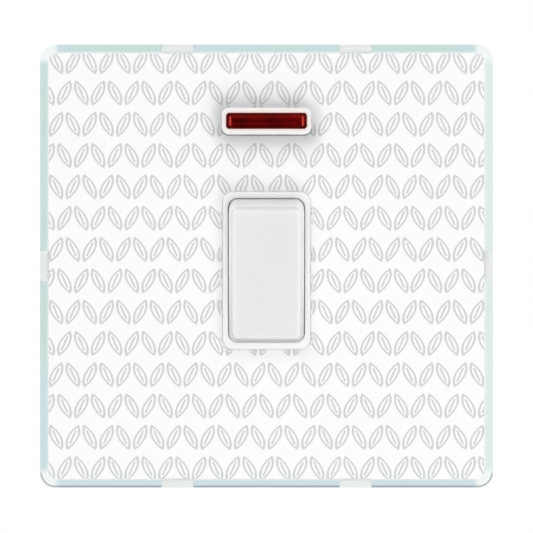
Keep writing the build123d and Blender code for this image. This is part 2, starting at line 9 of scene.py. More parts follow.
import bmesh
import bpy
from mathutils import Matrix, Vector


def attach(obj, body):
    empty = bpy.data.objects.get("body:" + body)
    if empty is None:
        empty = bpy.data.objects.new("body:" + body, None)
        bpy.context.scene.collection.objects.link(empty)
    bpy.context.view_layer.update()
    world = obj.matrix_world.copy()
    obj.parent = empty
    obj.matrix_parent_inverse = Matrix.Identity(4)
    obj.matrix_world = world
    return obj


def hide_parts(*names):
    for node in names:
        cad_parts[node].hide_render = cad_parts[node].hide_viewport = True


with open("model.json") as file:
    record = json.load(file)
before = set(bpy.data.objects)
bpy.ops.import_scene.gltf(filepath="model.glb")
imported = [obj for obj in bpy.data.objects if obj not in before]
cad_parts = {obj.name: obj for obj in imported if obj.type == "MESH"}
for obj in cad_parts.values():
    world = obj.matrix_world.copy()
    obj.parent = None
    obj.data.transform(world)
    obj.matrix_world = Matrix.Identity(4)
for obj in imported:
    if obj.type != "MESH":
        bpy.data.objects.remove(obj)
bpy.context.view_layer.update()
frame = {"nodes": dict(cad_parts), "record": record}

MM = 0.001
WHITE = "FFFFFF"
# More bounces than any ray makes.
ENDLESS = 1000
# Edges that turn by more than this many degrees look sharp.
CREASE = 35.0

Socket = bpy.types.NodeSocket
Tree = bpy.types.NodeTree
Node = bpy.types.Node
Feed = Union[Socket, Node, float, Sequence[float]]
Point = tuple[float, float, float]
# A ring's place along an axis, its half height and its half depth.
Station = tuple[float, float, float]
log = logging.getLogger("switch")


def linear(hex_colour: str) -> tuple[float, float, float, float]:
    """Turns an sRGB hex colour into the linear colour that shaders take.

    Args:
        hex_colour: Six hex digits.

    Returns:
        Red, green, blue and an alpha of 1, all linear.
    """
    channels = [int(hex_colour[i:i + 2], 16) / 255 for i in (0, 2, 4)]
    toe, slope, offset, power = 0.04045, 12.92, 0.055, 2.4
    red, green, blue = [
        c / slope if c <= toe else ((c + offset) / (1 + offset)) ** power for c in channels
    ]
    return red, green, blue, 1.0


def add_node(
    tree: Tree,
    kind: str,
    feeds: Optional[dict[Union[int, str], Feed]] = None,
    stops: Sequence[tuple[float, str]] = (),
    **settings: object,
) -> Node:
    """Adds one node with its settings, its values and its links.

    Args:
        tree: The node tree that gets the node.
        kind: The node's type, without the ShaderNode in front.
        feeds: For each input, by name or number, its value, or the socket or node that feeds it.
        stops: For a colour ramp, the place and the sRGB hex colour of each stop.
        settings: Attributes of the node, such as operation.

    Returns:
        The new node.
    """
    node = tree.nodes.new("ShaderNode" + kind)
    for name, value in settings.items():
        setattr(node, name, value)
    for key, value in (feeds or {}).items():
        if isinstance(value, Node):
            value = value.outputs[0]
        if isinstance(value, Socket):
            tree.links.new(value, node.inputs[key])
        else:
            node.inputs[key].default_value = value
    for number, (place, colour) in enumerate(stops):
        elements = node.color_ramp.elements
        stop = elements[number] if number < len(elements) else elements.new(place)
        stop.position = place
        stop.color = linear(colour)
    return node


@dataclass(frozen=True)
class Finish:
    """A surface finish: one Principled shader, and what its maker did to the surface.

    Args:
        name: The finish's name, which the material takes.
        colour: The main colour, as sRGB hex.
        roughness: How dull the surface is.
        ior: The index of refraction; a metal keeps the default of 1.5.
    """

    name: str
    colour: str
    roughness: float = 0.4
    ior: float = 1.5

    def material(self) -> bpy.types.Material:
        """Builds the material, unless it was built before.

        Returns:
            The finish's material.
        """
        made = bpy.data.materials.get(self.name)
        if made is not None:
            return made
        material = bpy.data.materials.new(self.name)
        material.use_nodes = True
        tree = material.node_tree
        shader = tree.nodes["Principled BSDF"]
        shader.inputs["Base Color"].default_value = linear(self.colour)
        shader.inputs["Roughness"].default_value = self.roughness
        shader.inputs["IOR"].default_value = self.ior
        self.dress(tree, shader)
        return material

    def dress(self, tree: Tree, shader: Node) -> None:
        """Adds what the finish needs beyond one colour and one roughness."""

    def place(self, tree: Tree) -> Node:
        """Returns the node that gives a point's place on its piece, in millimetres."""
        spot = add_node(tree, "TexCoord").outputs["Object"]
        return add_node(tree, "VectorMath", {0: spot, "Scale": 1 / MM}, operation="SCALE")

    def from_middle(self, tree: Tree, middle_y: float = 0.0) -> tuple[Node, Node]:
        """Returns how far a point lies beside a middle, and how far above or below it.

        Args:
            tree: The material's node tree.
            middle_y: How far that middle lies above the switch's middle, in millimetres.

        Returns:
            The nodes that give the two distances, in millimetres.
        """
        spot = add_node(tree, "SeparateXYZ", {0: self.place(tree)})
        beside = add_node(tree, "Math", {0: spot.outputs[0]}, operation="ABSOLUTE")
        above = add_node(tree, "Math", {0: spot.outputs[2], 1: middle_y}, operation="SUBTRACT")
        return beside, add_node(tree, "Math", {0: above}, operation="ABSOLUTE")

    def outline_distance(
        self, tree: Tree, half_x: float, half_y: float, corner: float, middle_y: float = 0.0
    ) -> Node:
        """Returns how far a point lies inside a rectangle with rounded corners, in millimetres.

        Args:
            tree: The material's node tree.
            half_x: Half the rectangle's width.
            half_y: Half its height.
            corner: The radius of its corners.
            middle_y: How far its middle lies above the switch's middle.

        Returns:
            The node that gives the distance, which is negative outside.
        """
        across, up = self.from_middle(tree, middle_y)
        beside = add_node(tree, "Math", {0: across, 1: half_x - corner}, operation="SUBTRACT")
        above = add_node(tree, "Math", {0: up, 1: half_y - corner}, operation="SUBTRACT")
        out_x = add_node(tree, "Math", {0: beside, 1: 0.0}, operation="MAXIMUM")
        out_y = add_node(tree, "Math", {0: above, 1: 0.0}, operation="MAXIMUM")
        reach = add_node(tree, "CombineXYZ", {0: out_x, 1: out_y})
        reach = add_node(tree, "VectorMath", {0: reach}, operation="LENGTH").outputs["Value"]
        inner = add_node(tree, "Math", {0: beside, 1: above}, operation="MAXIMUM")
        inner = add_node(tree, "Math", {0: inner, 1: 0.0}, operation="MINIMUM")
        total = add_node(tree, "Math", {0: reach, 1: inner}, operation="ADD")
        return add_node(tree, "Math", {0: corner, 1: total}, operation="SUBTRACT")

    def mottle(self, tree: Tree, grain: float, detail: float = 3.0) -> Socket:
        """Returns noise from 0 to 1.

        Args:
            tree: The material's node tree.
            grain: The size of one blotch in millimetres.
            detail: How many finer layers lie on the blotches.

        Returns:
            The noise's socket.
        """
        feeds = {"Vector": self.place(tree), "Scale": 1 / grain, "Detail": detail}
        return add_node(tree, "TexNoise", feeds).outputs["Fac"]

    def vary(self, tree: Tree, shader: Node, other: str, grain: float) -> None:
        """Shifts the colour in blotches between the main one and another.

        Args:
            tree: The material's node tree.
            shader: The Principled shader.
            other: The colour at the far end of the shift, as sRGB hex.
            grain: The size of one blotch in millimetres.
        """
        feeds = {0: self.mottle(tree, grain), 6: linear(self.colour), 7: linear(other)}
        mix = add_node(tree, "Mix", feeds, data_type="RGBA")
        tree.links.new(mix.outputs[2], shader.inputs["Base Color"])

    def tinge(self, tree: Tree, shader: Node, where: Node, colour: str) -> None:
        """Lays another colour over the one that the shader is fed.

        Args:
            tree: The material's node tree.
            shader: The Principled shader.
            where: The node that gives 1 where the other colour lies.
            colour: The other colour, as sRGB hex.
        """
        plain = shader.inputs["Base Color"].links[0].from_socket
        mix = add_node(tree, "Mix", {0: where, 6: plain, 7: linear(colour)}, data_type="RGBA")
        tree.links.new(mix.outputs[2], shader.inputs["Base Color"])

    def wear(self, tree: Tree, shader: Node, spread: float, grain: float) -> None:
        """Makes the roughness drift either side of its main value, as handled surfaces do.

        Args:
            tree: The material's node tree.
            shader: The Principled shader.
            spread: The most that the roughness departs from its main value.
            grain: The size of one blotch in millimetres.
        """
        low, high = self.roughness - spread, self.roughness + spread
        feeds = {"Value": self.mottle(tree, grain), "To Min": low, "To Max": high}
        drift = add_node(tree, "MapRange", feeds)
        tree.links.new(drift.outputs[0], shader.inputs["Roughness"])

    def relief(self, tree: Tree, shader: Node, grain: float, depth: float) -> None:
        """Gives the surface a fine relief.

        Args:
            tree: The material's node tree.
            shader: The Principled shader.
            grain: The distance between bumps in millimetres.
            depth: The height of the bumps in millimetres.
        """
        height = self.mottle(tree, grain, detail=2.0)
        bump = add_node(tree, "Bump", {"Height": height, "Distance": depth * MM, "Strength": 1.0})
        tree.links.new(bump.outputs[0], shader.inputs["Normal"])

    def let_light_through(self, tree: Tree, shader: Node, colour: Feed, bounces: int = ENDLESS) -> None:
        """Lets lamp rays and light off what lies behind go straight through a clear piece.

        Args:
            tree: The material's node tree.
            shader: The clear piece's own shader.
            colour: The tint that the light takes at each face it passes.
            bounces: After how many bounces a ray leaves the piece instead of ending black inside.
        """
        rays = add_node(tree, "LightPath").outputs
        feeds = {0: rays["Is Shadow Ray"], 1: rays["Is Diffuse Ray"]}
        passing = add_node(tree, "Math", feeds, operation="MAXIMUM")
        late = add_node(tree, "Math", {0: rays["Ray Depth"], 1: bounces}, operation="GREATER_THAN")
        passing = add_node(tree, "Math", {0: passing, 1: late}, operation="MAXIMUM")
        through = add_node(tree, "BsdfTransparent", {"Color": colour})
        mix = add_node(tree, "MixShader", {0: passing, 1: shader, 2: through})
        tree.links.new(mix.outputs[0], tree.nodes["Material Output"].inputs["Surface"])


@dataclass(frozen=True)
class UreaMoulding(Finish):
    """Urea formaldehyde, compression moulded in a polished tool.

    It is hard, white through and through and a little translucent, so gaps and edges in it look soft.
    The tool leaves a glossy skin with a faint orange peel.

    Args:
        other: The colour at the far end of its faint drift, as sRGB hex.
        drift_grain: The size of the drift's blotches, in millimetres, as all sizes here.
        wear_spread: How far handling shifts the roughness.
        wear_grain: The size of the handled patches.
        peel_grain: The distance between the waves of the orange peel.
        peel_depth: The height of those waves.
        sink: How far light sinks in.
        sink_weight: The share of the light that sinks in.
        sink_shares: How far red, green and blue sink in, as shares of the sink.
        skin: The weight of the glossy skin.
        skin_roughness: How dull the skin is.
    """

    other: str = "F3F1EE"
    drift_grain: float = 14.0
    wear_spread: float = 0.04
    wear_grain: float = 6.0
    peel_grain: float = 2.4
    peel_depth: float = 0.0016
    sink: float = 1.8
    sink_weight: float = 0.85
    sink_shares: tuple[float, float, float] = (1.0, 0.98, 0.96)
    skin: float = 0.8
    skin_roughness: float = 0.08

    def dress(self, tree: Tree, shader: Node) -> None:
        """Adds the orange peel, the light that sinks in, and a faint drift of colour and gloss.

        Args:
            tree: The material's node tree.
            shader: The Principled shader.
        """
        self.vary(tree, shader, self.other, self.drift_grain)
        self.wear(tree, shader, self.wear_spread, self.wear_grain)
        self.relief(tree, shader, self.peel_grain, self.peel_depth)
        shader.inputs["Subsurface Weight"].default_value = self.sink_weight
        shader.inputs["Subsurface Radius"].default_value = self.sink_shares
        shader.inputs["Subsurface Scale"].default_value = self.sink * MM
        shader.inputs["Coat Weight"].default_value = self.skin
        shader.inputs["Coat Roughness"].default_value = self.skin_roughness


@dataclass(frozen=True)
class RockerMoulding(UreaMoulding):
    """The moulded urea of the rocker, painted a little greyer than the rest as painted shade.

    Its long edges are painted paler, as a painted highlight.

    Args:
        rubbed: The colour of the painted highlight on the long edges, as sRGB hex.
        edge_x: How far from the rocker's middle the painted highlight starts, in millimetres.
        edge_soft: Over how many millimetres it starts.
    """

    rubbed: str = "FAF9F8"
    edge_x: float = 5.9
    edge_soft: float = 0.7

    def dress(self, tree: Tree, shader: Node) -> None:
        """Adds the painted highlight on the long edges to what every urea moulding has.

        Args:
            tree: The material's node tree.
            shader: The Principled shader.
        """
        super().dress(tree, shader)
        # Paints a highlight along the rocker's long edges.
        spot = add_node(tree, "SeparateXYZ", {0: self.place(tree)})
        across = add_node(tree, "Math", {0: spot.outputs[0]}, operation="ABSOLUTE")
        feeds = {"Value": across, "From Min": self.edge_x, "From Max": self.edge_x + self.edge_soft}
        self.tinge(tree, shader, add_node(tree, "MapRange", feeds), self.rubbed)


@dataclass(frozen=True)
class BezelMoulding(UreaMoulding):
    """The same moulded urea round the red lens, painted a little whiter than the rest as painted light.

    Beside the lens it is painted faintly pink, as painted red light from the lens.

    Args:
        blush: Its colour right beside the lens, as sRGB hex.
        lens_half_x: Half the lens's width, in millimetres, as all sizes here.
        lens_half_y: Half the lens's height.
        lens_corner: The radius of the lens's corners.
        lens_y: How far the lens's middle lies above the switch's middle.
        blush_reach: How far from the lens the painted red light ends.
    """

    blush: str = "FFDDD4"
    lens_half_x: float = 7.95
    lens_half_y: float = 1.55
    lens_corner: float = 0.6
    lens_y: float = 28.7
    blush_reach: float = 0.75

    def dress(self, tree: Tree, shader: Node) -> None:
        """Adds the painted red light beside the lens to what every urea moulding has.

        Args:
            tree: The material's node tree.
            shader: The Principled shader.
        """
        super().dress(tree, shader)
        sizes = (self.lens_half_x, self.lens_half_y, self.lens_corner, self.lens_y)
        inside = self.outline_distance(tree, *sizes)
        feeds = {"Value": inside, "From Min": -self.blush_reach, "From Max": 0.0}
        # Paints red light from the lens onto the bezel beside it.
        self.tinge(tree, shader, add_node(tree, "MapRange", feeds), self.blush)


@dataclass(frozen=True)
class SparkedMoulding(Finish):
    """A plastic or lacquer with an even fine grain, as a spark eroded tool leaves on a moulding.

    It looks matt and soft, and its colour drifts a little.

    Args:
        other: The colour at the far end of its drift, as sRGB hex.
        drift_grain: The size of the drift's blotches, in millimetres, as all sizes here.
        grain: The distance between the bumps of the grain.
        depth: The height of the bumps.
    """

    other: str = "DEDDD6"
    drift_grain: float = 9.0
    # A real spark grain is about 0.08 mm apart: it is drawn coarser, so that it shows.
    grain: float = 0.35
    depth: float = 0.012

    def dress(self, tree: Tree, shader: Node) -> None:
        """Adds the tool's grain and a faint drift of colour."""
        self.vary(tree, shader, self.other, self.drift_grain)
        self.relief(tree, shader, self.grain, self.depth)


@dataclass(frozen=True)
class PolishedAcrylic(Finish):
    """Clear acrylic, moulded and polished: water clear through the face, pale green down in the walls.

    Seen from the front, the wall round the edge is seven millimetres deep and shows the tint. It is paler
    where a white tab lies behind the face, and also painted paler there as painted light; it is painted
    paler on the right as painted light, and nearly clear round the corners as a painted reflection. Lamp
    rays, and light off the sheet behind, go straight through, so that the sheet is lit as it is behind real
    acrylic, apart from a painted shadow round the lamp's window.

    Args:
        half_width: Half the plate's width, in millimetres, as all sizes here.
        half_height: Half the plate's height.
        corner: The radius of the plate's corners.
        wall: How thick the wall is.
        wall_stops: The wall's colour, as sRGB hex, at each share of its thickness from outside.
        cool_wall: Its colour low down and in patches.
        pale_wall: Its colour on the right, painted paler as painted light.
        fade: Over how much the low and the right wall take their colours.
        patch_grain: The size of the cool patches.
        patch_from: The level of the noise at which a patch starts.
        patch_to: The level at which it is full.
        patch_share: How strong a full patch is.
        tab_colour: The wall's colour where a white tab lies behind the face: less acrylic lies in front of
            it, and the colour is also painted paler there as painted light.
        corner_colour: Its colour round the corners, a painted reflection of the room.
        corner_start: How far from a corner the wall still has the corner's colour in full.
        corner_end: How far from a corner that colour ends.
        end_tab_x: How far from the middle the upper and lower tabs stand.
        end_tab_half: Half the width of those tabs.
        side_tab_half: Half the height of the tab at each side.
        soft: Half the width of the soft line between wall and face.
        shade: The tint of light that passes right beside the lamp's window, a painted shadow round it on the
            sheet behind.
        shade_reach: How far from the window that tint ends.
        lamp_half_x: Half the width of the lamp's window.
        lamp_half_y: Half its height.
        lamp_corner: The radius of its corners.
        lamp_y: How far its middle lies above the switch's middle.
        face_bounces: After how many bounces a ray leaves the plate.
    """

    half_width: float = 45.0
    half_height: float = 44.0
    corner: float = 3.0
    wall: float = 1.5
    wall_stops: tuple[tuple[float, str], ...] = (
        (0.0, "D2DCD9"), (0.22, "C8DCD7"), (0.75, "C4DED7"), (1.0, "CBDDD8"),
    )
    cool_wall: str = "CBDDE4"
    pale_wall: str = "DEECEA"
    fade: float = 1.0
    patch_grain: float = 22.0
    patch_from: float = 0.42
    patch_to: float = 0.62
    patch_share: float = 0.7
    tab_colour: str = "F1F7F5"
    corner_colour: str = "F3F8F9"
    corner_start: float = 2.4
    corner_end: float = 4.0
    end_tab_x: float = 17.7
    end_tab_half: float = 3.2
    side_tab_half: float = 3.1
    soft: float = 0.12
    shade: str = "E7E8E9"
    shade_reach: float = 3.0
    lamp_half_x: float = 9.1
    lamp_half_y: float = 2.85
    lamp_corner: float = 1.2
    lamp_y: float = 28.5
    face_bounces: int = 3

    def dress(self, tree: Tree, shader: Node) -> None:
        """Adds the tint of the walls and the way through for light.

        Args:
            tree: The material's node tree.
            shader: The Principled shader.
        """
        shader.inputs["Transmission Weight"].default_value = 1.0
        edge = self.outline_distance(tree, self.half_width, self.half_height, self.corner)
        # In front of a tab the wall is paler, partly as painted light that lifts the tab out of its shade.
        feeds = {0: self.tabs(tree), 6: self.wall_tint(tree, edge), 7: linear(self.tab_colour)}
        wall = add_node(tree, "Mix", feeds, data_type="RGBA").outputs[2]
        # Round the corners the wall is painted nearly clear, as a painted reflection of the room.
        feeds = {0: self.corners(tree), 6: wall, 7: linear(self.corner_colour)}
        wall = add_node(tree, "Mix", feeds, data_type="RGBA").outputs[2]
        feeds = {"Value": edge, "From Min": self.wall + self.soft, "From Max": self.wall - self.soft}
        band = add_node(tree, "MapRange", feeds)
        tint = add_node(tree, "Mix", {0: band, 6: linear(self.colour), 7: wall}, data_type="RGBA")
        tree.links.new(tint.outputs[2], shader.inputs["Base Color"])
        # Light that passes beside the lamp's window is tinted grey, a painted shadow on the sheet behind.
        self.let_light_through(tree, shader, self.window_shade(tree), self.face_bounces)

    def window_shade(self, tree: Tree) -> Socket:
        """Returns the tint of light that passes: a painted shadow round the lamp's window.

        Args:
            tree: The material's node tree.

        Returns:
            The tint's socket.
        """
        sizes = (self.lamp_half_x, self.lamp_half_y, self.lamp_corner, self.lamp_y)
        inside = self.outline_distance(tree, *sizes)
        feeds = {"Value": inside, "From Min": -self.shade_reach, "From Max": 0.0}
        near = add_node(tree, "MapRange", feeds, interpolation_type="SMOOTHSTEP")
        feeds = {0: near, 6: linear(WHITE), 7: linear(self.shade)}
        return add_node(tree, "Mix", feeds, data_type="RGBA").outputs[2]

    def wall_tint(self, tree: Tree, edge: Node) -> Socket:
        """Returns the wall's tint: greyer outside, green within, cooler low down, and painted paler on the
        right as painted light.

        Args:
            tree: The material's node tree.
            edge: The distance inside the plate's outline.

        Returns:
            The tint's socket.
        """
        depth = add_node(tree, "Math", {0: edge, 1: self.wall}, operation="DIVIDE")
        tint = add_node(tree, "ValToRGB", {"Fac": depth}, stops=self.wall_stops)
        spot = add_node(tree, "SeparateXYZ", {0: self.place(tree)})
        low_edge = self.wall - self.half_height
        feeds = {"Value": spot.outputs[2], "From Min": low_edge + self.fade, "From Max": low_edge}
        low = add_node(tree, "MapRange", feeds)
        noise = self.mottle(tree, self.patch_grain, detail=1.0)
        levels = {"From Min": self.patch_from, "From Max": self.patch_to, "To Max": self.patch_share}
        patches = add_node(tree, "MapRange", {"Value": noise, **levels})
        cool = add_node(tree, "Math", {0: low, 1: patches}, operation="MAXIMUM")
        mix = add_node(tree, "Mix", {0: cool, 6: tint, 7: linear(self.cool_wall)}, data_type="RGBA")
        # The wall on the right is painted paler, as painted light.
        right_edge = self.half_width - self.wall
        feeds = {"Value": spot.outputs[0], "From Min": right_edge - self.fade, "From Max": right_edge}
        right = add_node(tree, "MapRange", feeds)
        feeds = {0: right, 6: mix.outputs[2], 7: linear(self.pale_wall)}
        return add_node(tree, "Mix", feeds, data_type="RGBA").outputs[2]

    def tabs(self, tree: Tree) -> Node:
        """Marks where a tab of the sub-plate stands in the wall.

        Args:
            tree: The material's node tree.

        Returns:
            The node that gives 1 there and 0 elsewhere.
        """
        across, up = self.from_middle(tree)
        feeds = {0: across, 1: self.end_tab_x, 2: self.end_tab_half}
        end_tab = add_node(tree, "Math", feeds, operation="COMPARE")
        side_tab = add_node(tree, "Math", {0: up, 1: self.side_tab_half}, operation="LESS_THAN")
        return add_node(tree, "Math", {0: end_tab, 1: side_tab}, operation="MAXIMUM")

    def corners(self, tree: Tree) -> Node:
        """Marks the plate's corners, where a painted reflection of the room lies on the curved wall.

        Args:
            tree: The material's node tree.

        Returns:
            The node that gives 1 there and 0 elsewhere.
        """
        across, up = self.from_middle(tree)
        beside = add_node(tree, "Math", {0: self.half_width, 1: across}, operation="SUBTRACT")
        above = add_node(tree, "Math", {0: self.half_height, 1: up}, operation="SUBTRACT")
        along = add_node(tree, "Math", {0: beside, 1: above}, operation="MAXIMUM")
        feeds = {"Value": along, "From Min": self.corner_end, "From Max": self.corner_start}
        return add_node(tree, "MapRange", feeds, interpolation_type="SMOOTHSTEP")


@dataclass(frozen=True)
class PrintedPaper(Finish):
    """Coated wallpaper with a small leaf printed in rows of pale grey ink.

    It is matt and nearly white, with a slight tooth. The leaves stand in rows, each row half a leaf along
    from the next, and each leaf leans the other way from its neighbour.

    Args:
        ink: The ink's colour, as sRGB hex.
        fibre: The paper's other colour, where its fibres lie denser.
        fibre_grain: The size of the denser spots, in millimetres, as all sizes here.
        tooth_grain: The distance between the bumps of the paper's tooth.
        tooth_depth: The height of those bumps.
        gloss: How much of a plain surface's shine the coat keeps.
        row_pitch: The distance between rows of leaves.
        row_start: The place of the first row, as a share of the distance between rows.
        row_shift: How far each row lies along from the next, as a share of a leaf's room.
        leaf_pitch: The distance between leaves.
        leaf_height: A leaf's height.
        leaf_width: A leaf's width.
        lean: How far a leaf leans, in degrees.
        vein_half: Half the length of its vein.
        stroke: The width of a line of ink.
        stroke_edge: Half the width of the line's soft edge.
    """

    ink: str = "CBCDCC"
    row_pitch: float = 6.23
    leaf_pitch: float = 3.35
    leaf_height: float = 4.5
    leaf_width: float = 1.9
    stroke: float = 0.42
    stroke_edge: float = 0.06
    lean: float = 24.0
    row_start: float = -0.03
    row_shift: float = 0.5
    vein_half: float = 1.25
    fibre: str = "F5F7F6"
    fibre_grain: float = 1.6
    # The real tooth is about 0.1 mm apart: it is drawn coarser, so that it shows.
    tooth_grain: float = 0.3
    tooth_depth: float = 0.004
    gloss: float = 0.2

    def dress(self, tree: Tree, shader: Node) -> None:
        """Adds the print, the paper's tooth and its fibres.

        Args:
            tree: The material's node tree.
            shader: The Principled shader.
        """
        feeds = {0: self.mottle(tree, self.fibre_grain), 6: linear(self.colour), 7: linear(self.fibre)}
        sheet = add_node(tree, "Mix", feeds, data_type="RGBA").outputs[2]
        feeds = {0: self.leaves(tree), 6: sheet, 7: linear(self.ink)}
        printed = add_node(tree, "Mix", feeds, data_type="RGBA")
        tree.links.new(printed.outputs[2], shader.inputs["Base Color"])
        shader.inputs["Specular IOR Level"].default_value = self.gloss
        self.relief(tree, shader, self.tooth_grain, self.tooth_depth)

    def leaves(self, tree: Tree) -> Node:
        """Marks where ink lies.

        Args:
            tree: The material's node tree.

        Returns:
            The node that gives 1 on ink and 0 on bare paper.
        """
        spot = add_node(tree, "SeparateXYZ", {0: self.place(tree)})
        feeds = {0: spot.outputs[2], 1: 1 / self.row_pitch, 2: self.row_start}
        row = add_node(tree, "Math", feeds, operation="MULTIPLY_ADD")
        row_number = add_node(tree, "Math", {0: row}, operation="FLOOR")
        rise = add_node(tree, "Math", {0: row}, operation="FRACT")
        feeds = {0: rise, 1: self.row_pitch, 2: -self.row_pitch / 2}
        v = add_node(tree, "Math", feeds, operation="MULTIPLY_ADD")
        shift = add_node(tree, "Math", {0: row_number, 1: self.row_shift}, operation="MULTIPLY")
        feeds = {0: spot.outputs[0], 1: 1 / self.leaf_pitch, 2: shift}
        along = add_node(tree, "Math", feeds, operation="MULTIPLY_ADD")
        number = add_node(tree, "Math", {0: along}, operation="FLOOR")
        step = add_node(tree, "Math", {0: along}, operation="FRACT")
        feeds = {0: step, 1: self.leaf_pitch, 2: -self.leaf_pitch / 2}
        u = add_node(tree, "Math", feeds, operation="MULTIPLY_ADD")
        # Leaves of even and odd number lean either way: the sign is -1 or 1.
        parity = add_node(tree, "Math", {0: number, 1: row_number}, operation="ADD")
        parity = add_node(tree, "Math", {0: parity, 1: 2.0}, operation="FLOORED_MODULO")
        sign = add_node(tree, "Math", {0: parity, 1: 2.0, 2: -1.0}, operation="MULTIPLY_ADD")
        slant = add_node(tree, "Math", {0: sign, 1: math.tan(math.radians(self.lean))}, operation="MULTIPLY")
        lean = add_node(tree, "Math", {0: v, 1: slant}, operation="MULTIPLY")
        u = add_node(tree, "Math", {0: u, 1: lean}, operation="SUBTRACT")
        u = add_node(tree, "Math", {0: u}, operation="ABSOLUTE")
        return self.leaf_lines(tree, u, v)

    def leaf_lines(self, tree: Tree, u: Node, v: Node) -> Node:
        """Marks one leaf's outline and vein.

        Args:
            tree: The material's node tree.
            u: The distance from the leaf's vein.
            v: The height above the leaf's middle.

        Returns:
            The node that gives 1 on them and 0 elsewhere.
        """
        # A leaf is where two equal circles cross: its half height and half width give their radius.
        half_height, half_width = self.leaf_height / 2, self.leaf_width / 2
        radius = (half_height ** 2 + half_width ** 2) / (2 * half_width)
        out = add_node(tree, "Math", {0: u, 1: radius - half_width}, operation="ADD")
        reach = add_node(tree, "CombineXYZ", {0: out, 1: v})
        reach = add_node(tree, "VectorMath", {0: reach}, operation="LENGTH").outputs["Value"]
        rim = add_node(tree, "Math", {0: reach, 1: radius}, operation="SUBTRACT")
        rim = add_node(tree, "Math", {0: rim}, operation="ABSOLUTE")
        above = add_node(tree, "Math", {0: v}, operation="ABSOLUTE")
        above = add_node(tree, "Math", {0: above, 1: self.vein_half}, operation="SUBTRACT")
        above = add_node(tree, "Math", {0: above, 1: 0.0}, operation="MAXIMUM")
        vein = add_node(tree, "Math", {0: above, 1: u}, operation="ADD")
        line = add_node(tree, "Math", {0: rim, 1: vein}, operation="MINIMUM")
        half = self.stroke / 2
        feeds = {"Value": line, "From Min": half + self.stroke_edge, "From Max": half - self.stroke_edge}
        return add_node(tree, "MapRange", feeds)


